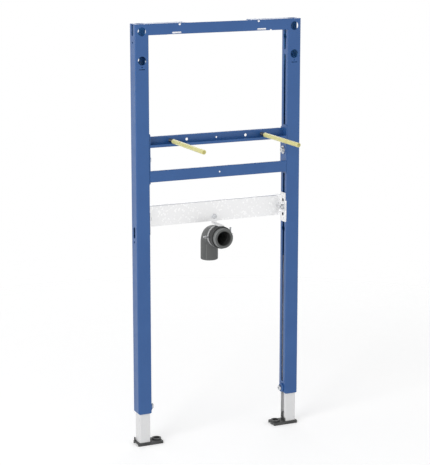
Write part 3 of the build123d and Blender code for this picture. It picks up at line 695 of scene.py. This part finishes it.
def disc(bm, radius, low, high, steps):
    """A plain round solid from low to high."""
    lathe(bm, ((0.0, low), (radius, low), (radius, high), (0.0, high)), steps)


def ring(bm, radius, steps, centre):
    """A level ring of edges to grow from."""
    made = bmesh.ops.create_circle(bm, cap_ends=False, radius=radius, segments=steps,
                                   matrix=Matrix.Translation(centre))
    return list({edge for vert in made["verts"] for edge in vert.link_edges})


def verts_of(edges):
    return list({vert for edge in edges for vert in edge.verts})


def grow(bm, edges, move=(0, 0, 0), radius=None):
    """Extrude a ring, move the new one, and bring it to a radius; give the new ring."""
    made = bmesh.ops.extrude_edge_only(bm, edges=edges)["geom"]
    verts = [item for item in made if isinstance(item, bmesh.types.BMVert)]
    if radius is not None:
        middle = sum((vert.co for vert in verts), Vector()) / len(verts)
        factor = radius / (verts[0].co - middle).length
        bmesh.ops.scale(bm, vec=(factor,) * 3, space=Matrix.Translation(-middle), verts=verts)
    bmesh.ops.translate(bm, vec=move, verts=verts)
    fresh = set(verts)
    return [item for item in made if isinstance(item, bmesh.types.BMEdge) and fresh.issuperset(item.verts)]


def turn_ring(bm, edges, centre, turn):
    """Sweep a ring round a line along X; give the last ring."""
    made = bmesh.ops.spin(bm, geom=edges + verts_of(edges), cent=centre, axis=(1, 0, 0), dvec=(0, 0, 0),
                          angle=turn, steps=TURN_STEPS, use_merge=False, use_duplicate=False)["geom_last"]
    return [item for item in made if isinstance(item, bmesh.types.BMEdge)]


def close_ends(bm):
    open_edges = [edge for edge in bm.edges if edge.is_boundary]
    bmesh.ops.holes_fill(bm, edges=open_edges, sides=0)


def hex_reach(corner, turn):
    """Distance from a hexagon's middle to its side."""
    return corner * math.cos(HEX_HALF) / math.cos(turn % (2 * HEX_HALF) - HEX_HALF)


def hexagon(bm, corner, low, high, bore):
    """A nut or head from low to high with both its ends chamfered, and a bore through it."""
    face = HEX_FACE * corner * math.cos(HEX_HALF)
    levels = ((face, False, low), (corner, True, low), (corner, True, high), (face, False, high),
              (bore, False, high))
    start = current = ring(bm, bore, HEAD_STEPS, (0, 0, low))
    middle = (low + high) / 2
    for size, six_sided, height in levels:
        current = grow(bm, current)
        for vert in verts_of(current):
            turn = math.atan2(vert.co.y, vert.co.x)
            reach = hex_reach(size, turn) if six_sided else size
            dip = max(0.0, reach - face) * HEX_CHAMFER
            up = height + dip if height < middle else height - dip
            vert.co = (reach * math.cos(turn), reach * math.sin(turn), up)
    bmesh.ops.bridge_loops(bm, edges=current + start)


def recessed_head(bm, corner, low, high, recess, foot):
    """A hexagon head with a round recess, on a core that starts at its foot."""
    radius, depth = recess
    hexagon(bm, corner, low, high, radius)
    disc(bm, radius, foot, high - depth, RECESS_STEPS)


def thread(bm, radius, pitch, low, high):
    """A screw thread from low to high, flat at both ends with a small lead-in."""
    shell = bmesh.new()
    root = radius - THREAD_DEPTH * pitch
    turns = math.ceil((high - low) / pitch) + SPARE_TURNS
    first = low - SPARE_TURNS / 2 * pitch
    profile = ((root, 0.0), (root, ROOT_END), (radius, CREST_START), (radius, CREST_END))
    outline = [(reach, first + (turn + part) * pitch) for turn in range(turns) for reach, part in profile]
    verts = [shell.verts.new((reach, 0.0, height)) for reach, height in outline]
    edges = [shell.edges.new(pair) for pair in zip(verts, verts[1:])]
    bmesh.ops.spin(shell, geom=verts + edges, cent=(0, 0, 0), axis=(0, 0, 1),
                   dvec=(0, 0, pitch / THREAD_STEPS), angle=FULL_TURN, steps=THREAD_STEPS,
                   use_merge=False, use_duplicate=False)
    bmesh.ops.remove_doubles(shell, verts=shell.verts, dist=WELD_DISTANCE)
    for height, up in ((low, -1), (high, 1)):
        everything = shell.verts[:] + shell.edges[:] + shell.faces[:]
        bmesh.ops.bisect_plane(shell, geom=everything, plane_co=(0, 0, height), plane_no=(0, 0, up),
                               clear_outer=True)
    for vert in shell.verts:
        lead = min(vert.co.z - low, high - vert.co.z)
        reach = math.hypot(vert.co.x, vert.co.y)
        limit = min(reach, root + lead) / reach
        vert.co.x *= limit
        vert.co.y *= limit
    close_ends(shell)
    join(bm, shell)


def join(bm, other):
    """Add another bmesh to this one."""
    carrier = bpy.data.meshes.new("carrier")
    other.to_mesh(carrier)
    other.free()
    bm.from_mesh(carrier)
    bpy.data.meshes.remove(carrier)


def paint(bm, index, test):
    """Give one of a piece's materials to the faces that pass a test."""
    for face in bm.faces:
        if test(face):
            face.material_index = index


def place(bm, origin, axis):
    """Move a shape made on Z to its origin, with Z along its axis."""
    turn = Vector((0, 0, 1)).rotation_difference(Vector(axis)).to_matrix().to_4x4()
    bmesh.ops.transform(bm, matrix=Matrix.Translation(origin) @ turn, verts=bm.verts)


def stand(bm, node, axis):
    """Place a shape along an axis through the middle of a CAD piece's box, from the box's end."""
    low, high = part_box(node)
    along = Vector(axis)
    place(bm, middle_of(node) - along * abs(along.dot(high - low)) / 2, axis)


def middle_of(node):
    low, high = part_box(node)
    return (low + high) / 2


def copy_of(node):
    """A copy of a CAD piece with its corners merged and its flat faces whole."""
    bm = bmesh.new()
    bm.from_mesh(frame["nodes"][node].data)
    bmesh.ops.remove_doubles(bm, verts=bm.verts, dist=WELD_DISTANCE)
    bmesh.ops.dissolve_limit(bm, angle_limit=math.radians(FLAT_ANGLE), use_dissolve_boundaries=False,
                             verts=bm.verts, edges=bm.edges, delimit={"NORMAL"})
    return bm


def new_object(name, bm, materials):
    """Finish a shape as an object of the scene."""
    mesh = bpy.data.meshes.new(name)
    bm.to_mesh(mesh)
    bm.free()
    for make in materials:
        mesh.materials.append(finish(make))
    made = bpy.data.objects.new(name, mesh)
    bpy.context.scene.collection.objects.link(made)
    return made


def new_piece(name, bm, body, edge, materials):
    """Finish a shape as a piece with eased edges that rides on a body."""
    piece = new_object(name, bm, materials)
    piece.data.shade_smooth()
    piece.data.set_sharp_from_angle(angle=math.radians(SMOOTH_ANGLE))
    if edge:
        eased = piece.modifiers.new("Eased edges", "BEVEL")
        eased.width = edge
        eased.segments = settings().edges.segments
        eased.limit_method = "ANGLE"
        eased.angle_limit = math.radians(SMOOTH_ANGLE)
        flat = piece.modifiers.new("Flat faces", "WEIGHTED_NORMAL")
        flat.weight = FLAT_WEIGHT
        flat.keep_sharp = True
    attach(piece, body)
    return piece


def add_piece(name, bm, node, edge, recalculate=True, materials=()):
    """Finish a shape as a piece that stands for a CAD node and rides with it."""
    if recalculate:
        bmesh.ops.recalc_face_normals(bm, faces=bm.faces)
    slot = SLOT_OF[node]
    piece = new_piece(name, bm, frame["nodes"][node]["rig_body"], edge, materials or (FINISHES[slot],))
    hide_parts(node)


def dress(node, edge, materials=(), second=None):
    """Stand an eased copy in for a CAD piece, with its second material on the faces that pass a test."""
    bm = copy_of(node)
    if second:
        paint(bm, 1, second)
    add_piece(f"{node}_eased", bm, node, edge, recalculate=False, materials=materials)


# Pieces

class BASINFRAME_OT_uprights(bpy.types.Operator):
    """Slotted uprights, and the plates that close their upper ends"""
    bl_idname = "basin_frame.uprights"
    bl_label = "Uprights"

    def execute(self, context):
        edge = settings().edges.sheet
        for side in SIDES:
            upright = f"{side}_upright"
            # The faces inside each upright get the coat with painted light at its upper end.
            dress(upright, edge, (blue_coat, inside_coat_painted_light), self.inner_faces(upright))
            dress(f"{side}_top_plate", edge)
        return {"FINISHED"}

    def inner_faces(self, node):
        """A test for the faces inside a tube."""
        low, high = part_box(node)
        middle = middle_of(node)
        wall = settings().weld.sheet

        def inner(face):
            away = face.calc_center_median() - middle
            within_width = abs(away.x) < (high.x - low.x - wall) / 2
            within_depth = abs(away.y) < (high.y - low.y - wall) / 2
            return within_width and within_depth and abs(face.normal.z) < FACING

        return inner


class BASINFRAME_OT_crossbars(bpy.types.Operator):
    """Top rail, and the ladder of two crossbars between its end plates"""
    bl_idname = "basin_frame.crossbars"
    bl_label = "Rail and crossbars"

    def execute(self, context):
        bars = ("top_rail", "upper_crossbar", "lower_crossbar")
        plates = ("left_ladder_plate", "right_ladder_plate")
        for node in bars + plates:
            dress(node, settings().edges.sheet)
        return {"FINISHED"}


class BASINFRAME_OT_welds(bpy.types.Operator):
    """Dressed welds at the rail's ends, and beads behind the ends of the rail and crossbars"""
    bl_idname = "basin_frame.welds"
    bl_label = "Welds"

    def execute(self, context):
        sheet = settings().weld.sheet
        for side, outward in SIDES.items():
            bm = bmesh.new()
            self.dressed(bm, outward)
            for bar in ("top_rail", "lower_crossbar"):
                self.bead(bm, bar, outward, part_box(bar)[0].y + sheet)
            self.bead(bm, "upper_crossbar", outward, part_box("upper_crossbar")[1].y)
            bmesh.ops.recalc_face_normals(bm, faces=bm.faces)
            new_piece(f"{side}_welds", bm, "frame", 0.0, (blue_coat,))
        return {"FINISHED"}

    def dressed(self, bm, outward):
        """Fill the groove where the rail's web meets an upright's rounded corner."""
        s = settings().weld
        low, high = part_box("top_rail")
        front = low.y - s.crown
        outline = ((-s.lap, front), (s.fold + s.lap, front), (s.fold + s.lap, low.y + s.lap),
                   (0.0, low.y + s.fold), (-s.lap, low.y + s.lap))
        verts = [bm.verts.new((outward * (high.x + out), y, low.z)) for out, y in outline]
        bm.faces.new(verts)
        made = bmesh.ops.extrude_face_region(bm, geom=bm.faces[:])["geom"]
        upper = [item for item in made if isinstance(item, bmesh.types.BMVert)]
        bmesh.ops.translate(bm, vec=(0, 0, high.z - s.fold - low.z), verts=upper)

    def bead(self, bm, bar, outward, y):
        """A rippled bead that stands straight up at a bar's end."""
        s = settings().weld
        low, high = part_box(bar)
        height = high.z - low.z - 2 * s.margin
        steps = 2 * round(height / s.step)
        shell = bmesh.new()
        line = ring(shell, s.radius * s.taper, BEAD_STEPS, (outward * high.x, y, low.z + s.margin))
        for index in range(steps):
            swell = 1.0 if index % 2 else s.waist
            line = grow(shell, line, (0, 0, height / steps), s.radius * swell)
        grow(shell, line, radius=s.radius * s.taper)
        close_ends(shell)
        join(bm, shell)


class BASINFRAME_OT_studs(bpy.types.Operator):
    """Threaded rods with their sleeves and nuts"""
    bl_idname = "basin_frame.studs"
    bl_label = "Basin studs"

    def execute(self, context):
        for side in SIDES:
            self.rod(side)
            self.sleeve(side)
            self.nut(side)
        return {"FINISHED"}

    def rod(self, side):
        s = settings().stud
        node = f"{side}_threaded_rod"
        low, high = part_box(node)
        radius = (high.x - low.x) / 2
        bm = bmesh.new()
        thread(bm, radius, s.pitch, 0.0, s.thread_shown)
        disc(bm, radius - s.core_depth * s.pitch, s.thread_shown, high.y - low.y, THREAD_STEPS)
        stand(bm, node, (0, -1, 0))
        # The rod is coloured near black: painted shade.
        add_piece(f"{side}_stud_rod", bm, node, 0.0, materials=(dark_shade_plate,))

    def sleeve(self, side):
        s = settings().stud
        node = f"{side}_rod_sleeve"
        low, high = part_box(node)
        rod_low, rod_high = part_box(f"{side}_threaded_rod")
        outside = (high.x - low.x) / 2
        inside = (rod_high.x - rod_low.x) / 2 + s.play
        whole = high.y - low.y
        floor = whole - (rod_low.y - low.y - s.play)
        rim = outside - 2 * s.crown
        bottom = whole - s.dish
        bm = bmesh.new()
        lathe(bm, ((0.0, floor), (inside, floor), (inside, 0.0), (outside, 0.0), (outside, whole - s.crown),
                   (outside - s.crown, whole), (rim, whole), (rim - s.dish, bottom), (0.0, bottom)),
              SLEEVE_STEPS)

        def dished(face):
            middle = face.calc_center_median()
            return middle.z > bottom - WELD_DISTANCE and math.hypot(middle.x, middle.y) < rim

        # The dished end gets the darker olive, painted shade.
        paint(bm, 1, dished)
        stand(bm, node, (0, -1, 0))
        add_piece(f"{side}_stud_sleeve", bm, node, settings().edges.turned,
                  materials=(sleeve_plastic, sleeve_end_shade))

    def nut(self, side):
        node = f"{side}_rod_nut"
        low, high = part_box(node)
        bm = bmesh.new()
        hexagon(bm, (high.x - low.x) / 2, 0.0, high.y - low.y, settings().stud.nut_bore)
        stand(bm, node, (0, -1, 0))
        add_piece(f"{side}_stud_nut", bm, node, settings().edges.turned)


class BASINFRAME_OT_clamp_screws(bpy.types.Operator):
    """Screws with washers that clamp the ladder and the waste bar, and their slot nuts"""
    bl_idname = "basin_frame.clamp_screws"
    bl_label = "Clamp screws"

    def execute(self, context):
        for side, outward in SIDES.items():
            for held in ("ladder", "waste_bar"):
                self.screw(f"{side}_{held}_screw", -outward)
                dress(f"{side}_{held}_slot_nut", settings().edges.moulded)
        return {"FINISHED"}

    def screw(self, node, inward):
        s = settings().screw
        low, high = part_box(node)
        whole = high.x - low.x
        corner, head = s.clamp_head
        washer_radius = (high.z - low.z) / 2
        top = whole - head
        seat = top - s.washer
        bm = bmesh.new()
        thread(bm, s.radius, s.pitch, 0.0, seat)
        lathe(bm, ((s.radius, seat), (washer_radius, seat), (washer_radius, top), (s.radius, top)),
              HEAD_STEPS, closed=True)
        recessed_head(bm, corner, top, whole, s.recess, seat + s.washer / 2)
        stand(bm, node, (inward, 0, 0))
        add_piece(f"{node}_threaded", bm, node, settings().edges.turned)


class BASINFRAME_OT_waste_bar(bpy.types.Operator):
    """Galvanised waste bar, its bracket and the bracket's bolt"""
    bl_idname = "basin_frame.waste_bar"
    bl_label = "Waste bar"

    def execute(self, context):
        edge = settings().edges.sheet
        # The walls of the spare holes are coloured near black: painted shade.
        dress("waste_bar", edge, (galvanised, dark_shade_plate), self.hole_wall_shade_faces())
        dress("waste_bracket", edge)
        self.bolt()
        return {"FINISHED"}

    def hole_wall_shade_faces(self):
        """A test for the walls of the spare holes in the bar's end plates, which get painted shade: they are
        coloured near black for the dark inside the holes.
        """
        s = settings().bar
        screw = middle_of("left_waste_bar_screw")

        def painted_shade_wall(face):
            away = face.calc_center_median() - screw
            reach = math.hypot(away.y, abs(away.z) - s.hole_pitch)
            return abs(face.normal.x) < FACING and reach < s.hole_radius + WELD_DISTANCE

        return painted_shade_wall

    def bolt(self):
        s = settings().screw
        node = "waste_bracket_bolt"
        low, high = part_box(node)
        corner = (high.x - low.x) / 2
        whole = high.y - low.y
        seat = whole - s.bolt_head
        bm = bmesh.new()
        thread(bm, s.radius, s.pitch, 0.0, seat)
        hexagon(bm, corner, s.bolt_tail, s.bolt_tail + s.bolt_head, s.bolt_nut_bore)
        recessed_head(bm, corner, seat, whole, s.recess, seat)
        stand(bm, node, (0, -1, 0))
        add_piece("bracket_bolt", bm, node, settings().edges.turned)


class BASINFRAME_OT_waste_bend(bpy.types.Operator):
    """Moulded waste bend with its collar, mould seam and guide rib, and the seal in its mouth"""
    bl_idname = "basin_frame.waste_bend"
    bl_label = "Waste bend"

    def execute(self, context):
        self.bend()
        self.seal()
        return {"FINISHED"}

    def bend(self):
        s = settings().bend
        low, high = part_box("waste_bend")
        collar_radius = high.x
        spigot = Vector((0.0, high.y - s.pipe_radius, low.z))
        inlet_z = high.z - collar_radius
        centre = Vector((0.0, spigot.y - s.turn_radius, inlet_z - s.turn_radius))
        rise = centre.z - low.z
        mouth = low.y - centre.y
        shoulder = mouth + s.collar_length + s.socket_length
        bm = bmesh.new()
        first = ring(bm, s.pipe_radius - s.chamfer, BEND_STEPS, spigot)
        edges = grow(bm, first, (0, 0, s.chamfer), s.pipe_radius)
        edges = grow(bm, edges, (0, 0, rise - s.chamfer))
        edges = turn_ring(bm, edges, centre, QUARTER_TURN)
        edges = grow(bm, edges, (0, shoulder, 0))
        edges = grow(bm, edges, radius=s.socket_radius)
        edges = grow(bm, edges, (0, -s.socket_length, 0))
        edges = grow(bm, edges, radius=collar_radius)
        edges = grow(bm, edges, (0, -s.collar_length, 0))
        edges = grow(bm, edges, radius=s.pipe_radius)
        edges = grow(bm, edges, (0, s.plug_depth, 0))
        edges = grow(bm, edges, radius=s.pipe_radius - s.pipe_wall)
        edges = grow(bm, edges, (0, -mouth - s.plug_depth, 0))
        edges = turn_ring(bm, edges, centre, -QUARTER_TURN)
        edges = grow(bm, edges, (0, 0, -rise))
        bmesh.ops.bridge_loops(bm, edges=edges + first)
        collar_end = low.y + s.collar_length + WELD_DISTANCE
        paint(bm, 1, lambda face: face.calc_center_median().y < collar_end)
        seam = bmesh.new()
        line = ring(seam, s.seam_radius, SEAM_STEPS, spigot + Vector((0, s.pipe_radius, s.chamfer)))
        line = grow(seam, line, (0, 0, rise - s.chamfer))
        line = turn_ring(seam, line, centre, QUARTER_TURN)
        grow(seam, line, (0, shoulder, 0))
        close_ends(seam)
        join(bm, seam)
        rib = bmesh.new()
        reach = s.pipe_radius - s.rib_radius * s.rib_sink
        foot = spigot + Vector((-reach * math.sin(s.rib_angle), -reach * math.cos(s.rib_angle), s.chamfer))
        grow(rib, ring(rib, s.rib_radius, RIB_STEPS, foot), (0, 0, rise - s.chamfer))
        close_ends(rib)
        # The rib gets the paler grey, a painted highlight.
        paint(rib, 2, lambda face: True)
        join(bm, rib)
        add_piece("waste_bend_moulded", bm, "waste_bend", settings().edges.moulded,
                  materials=(pipe_plastic, collar_plastic_and_bore_shade, rib_highlight_plastic))

    def seal(self):
        s = settings().seal
        bend = settings().bend
        low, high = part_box("waste_seal")
        outside = high.x
        whole = high.y - low.y
        plug = whole - bend.plug_depth
        tight = bend.pipe_radius - s.play
        groove_floor = outside - s.groove_depth
        hollow_floor = s.bore + s.hollow_depth
        hollow_start, hollow_end = s.hollow
        outline = [(s.bore + s.rim, 0.0), (outside - s.edge, 0.0), (outside, s.edge)]
        for start in s.grooves:
            end = start + s.groove_width
            outline += [(outside, start), (groove_floor, start + s.groove_slope),
                        (groove_floor, end - s.groove_slope), (outside, end)]
        outline += [(outside, plug), (tight, plug), (tight, whole), (s.bore, whole), (s.bore, hollow_end),
                    (hollow_floor, hollow_end - s.hollow_slope),
                    (hollow_floor, hollow_start + s.hollow_slope), (s.bore, hollow_start), (s.bore, s.edge)]
        bm = bmesh.new()
        lathe(bm, outline, BEND_STEPS, closed=True)
        # The seal's bore gets the dark collar plastic: painted shade.
        paint(bm, 1, lambda face: face.calc_center_median().xy.length < hollow_floor)
        # The seal's side gets the paler grey, painted light.
        paint(bm, 2, lambda face: face.calc_center_median().xy.length > outside - 2 * s.groove_depth)
        stand(bm, "waste_seal", (0, 1, 0))
        add_piece("waste_seal_lipped", bm, "waste_seal", settings().edges.turned,
                  materials=(seal_rubber, collar_plastic_and_bore_shade, seal_side_lit))


class BASINFRAME_OT_waste_clip(bpy.types.Operator):
    """Split clip round the socket, with its screw and its rivet"""
    bl_idname = "basin_frame.waste_clip"
    bl_label = "Waste clip"

    def execute(self, context):
        dress("waste_clip", settings().edges.sheet, (clip_steel,))
        self.screw_and_rivet()
        return {"FINISHED"}

    def screw_and_rivet(self):
        s = settings().screw
        node = "waste_clip_screws"
        low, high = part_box(node)
        radius = (high.y - low.y) / 2
        whole = high.z - low.z
        seat = whole - s.clip_head
        edge = s.clip_head_edge
        hollow, depth = s.clip_recess
        screw = bmesh.new()
        thread(screw, s.clip_radius, s.clip_pitch, 0.0, seat)
        hexagon(screw, radius, 0.0, s.clip_head, s.clip_nut_bore)
        lathe(screw, ((0.0, seat), (radius, seat), (radius, whole - edge), (radius - edge, whole),
                      (hollow, whole), (hollow, whole - depth), (0.0, whole - depth)), RIVET_STEPS)
        place(screw, (high.x - radius, (low.y + high.y) / 2, low.z), (0, 0, 1))
        head_radius, head = s.rivet_head
        seat = s.rivet_seat
        half = seat + head
        dome = head_radius - head
        rivet = bmesh.new()
        lathe(rivet, ((0.0, -half), (dome, -half), (head_radius, -seat), (s.rivet_radius, -seat),
                      (s.rivet_radius, seat), (head_radius, seat), (dome, half), (0.0, half)), RIVET_STEPS)
        clip = middle_of("waste_clip")
        place(rivet, (low.x + head_radius, clip.y, clip.z), (0, 0, 1))
        join(screw, rivet)
        add_piece("clip_screw_and_rivet", screw, node, settings().edges.turned)


class BASINFRAME_OT_feet(bpy.types.Operator):
    """Telescopic legs, foot plates, and the locks with their screws"""
    bl_idname = "basin_frame.feet"
    bl_label = "Feet"

    def execute(self, context):
        edges = settings().edges
        for side, outward in SIDES.items():
            dress(f"{side}_foot_leg", edges.sheet, (galvanised_tube,))
            dress(f"{side}_foot_plate", edges.moulded)
            dress(f"{side}_foot_lock", edges.sheet)
            self.lock_screw(f"{side}_foot_lock_screw", -outward)
        return {"FINISHED"}

    def lock_screw(self, node, inward):
        s = settings().screw
        low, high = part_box(node)
        whole = high.x - low.x
        corner, head = s.lock_head
        neck = whole - head
        bm = bmesh.new()
        disc(bm, (high.z - low.z) / 2, 0.0, s.lock_pad, SLEEVE_STEPS)
        thread(bm, s.radius, s.pitch, s.lock_pad, neck)
        recessed_head(bm, corner, neck, whole, s.lock_recess, neck)
        stand(bm, node, (inward, 0, 0))
        add_piece(f"{node}_threaded", bm, node, settings().edges.turned)


class BASINFRAME_OT_stage(bpy.types.Operator):
    """Camera, pale floor and soft studio light"""
    bl_idname = "basin_frame.stage"
    bl_label = "Stage"

    def execute(self, context):
        scene = context.scene
        scene.view_settings.view_transform = "Standard"
        self.camera(scene)
        self.floor()
        self.sky(scene)
        for name in ("key", "fill", "back"):
            self.lamp(scene, name)
        return {"FINISHED"}

    def camera(self, scene):
        s = settings().stage
        lens = bpy.data.cameras.new("Camera")
        lens.lens = s.lens
        eye = bpy.data.objects.new("Camera", lens)
        eye.location = s.camera
        eye.rotation_euler = (s.tilt, 0.0, s.turn)
        scene.collection.objects.link(eye)
        scene.camera = eye

    def floor(self):
        """A floor in two halves, one under each foot, so that each foot stands on it at any height."""
        half = settings().stage.floor_size / 2
        for side, outward in SIDES.items():
            bm = bmesh.new()
            shape = Matrix.Translation((outward * half / 2, 0, 0)) @ Matrix.Diagonal((0.5, 1, 1, 1))
            bmesh.ops.create_grid(bm, x_segments=FLOOR_STEPS // 2, y_segments=FLOOR_STEPS, size=half,
                                  matrix=shape)
            floor = new_object(f"{side}_floor", bm, (pale_floor,))
            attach(floor, f"{side}_foot")

    def sky(self, scene):
        """Even light from all round, dimmer overhead."""
        s = settings().stage
        world = bpy.data.worlds.new("Studio")
        world.use_nodes = True
        tree = world.node_tree
        strength = remap(tree, seen_ray(tree), new=(s.sky, 1.0))
        toward = add(tree, "ShaderNodeTexCoord").outputs["Generated"]
        height = add(tree, "ShaderNodeSeparateXYZ", {"Vector": toward}).outputs["Z"]
        dome = remap(tree, height, s.dusk, (1.0, s.zenith))
        connect(tree, tree.nodes["Background"], {"Color": (1.0, 1.0, 1.0, 1.0),
                                                 "Strength": maths(tree, "MULTIPLY", strength, dome)})
        scene.world = world

    def lamp(self, scene, name):
        """An area lamp that looks at the frame's middle and isn't seen itself."""
        s = settings().stage
        title = f"{name.capitalize()} light"
        light = bpy.data.lights.new(title, "AREA")
        light.energy = getattr(s, name)
        light.shape = "RECTANGLE"
        light.size, light.size_y = getattr(s, f"{name}_size")
        lamp = bpy.data.objects.new(title, light)
        lamp.location = getattr(s, f"{name}_place")
        lamp.visible_camera = False
        aim = middle_of("lower_crossbar") - lamp.location
        lamp.rotation_euler = aim.to_track_quat("-Z", "Y").to_euler()
        scene.collection.objects.link(lamp)


class BASINFRAME_PT_sidebar(bpy.types.Panel):
    """Lists the basin frame's pieces and settings"""
    bl_idname = "BASINFRAME_PT_sidebar"
    bl_label = "Basin Frame"
    bl_space_type = "VIEW_3D"
    bl_region_type = "UI"
    bl_category = "Basin Frame"

    def draw(self, context):
        for operator in OPERATORS:
            self.layout.operator(operator.bl_idname)
        everything = context.scene.basin_frame
        for group in everything.bl_rna.properties.keys():
            if group not in ("rna_type", "name"):
                self.draw_group(group.capitalize(), getattr(everything, group))

    def draw_group(self, title, group):
        box = self.layout.box()
        box.label(text=title)
        for name in group.bl_rna.properties.keys():
            if name not in ("rna_type", "name"):
                box.prop(group, name)


OPERATORS = (BASINFRAME_OT_uprights, BASINFRAME_OT_crossbars, BASINFRAME_OT_welds, BASINFRAME_OT_studs,
             BASINFRAME_OT_clamp_screws, BASINFRAME_OT_waste_bar, BASINFRAME_OT_waste_bend,
             BASINFRAME_OT_waste_clip, BASINFRAME_OT_feet, BASINFRAME_OT_stage)
CLASSES = (CoatSettings, ZincSettings, PlasticSettings, EdgeSettings, StudSettings, ScrewSettings,
           BarSettings, WeldSettings, BendSettings, SealSettings, StageSettings, FrameSettings, *OPERATORS,
           BASINFRAME_PT_sidebar)


def register():
    for cls in CLASSES:
        bpy.utils.register_class(cls)
    bpy.types.Scene.basin_frame = PointerProperty(type=FrameSettings)


def unregister():
    del bpy.types.Scene.basin_frame
    for cls in reversed(CLASSES):
        bpy.utils.unregister_class(cls)


def main():
    register()
    bpy.ops.basin_frame.uprights()
    bpy.ops.basin_frame.crossbars()
    bpy.ops.basin_frame.welds()
    bpy.ops.basin_frame.studs()
    bpy.ops.basin_frame.clamp_screws()
    bpy.ops.basin_frame.waste_bar()
    bpy.ops.basin_frame.waste_bend()
    bpy.ops.basin_frame.waste_clip()
    bpy.ops.basin_frame.feet()
    bpy.ops.basin_frame.stage()


if __name__ == "__main__":
    main()
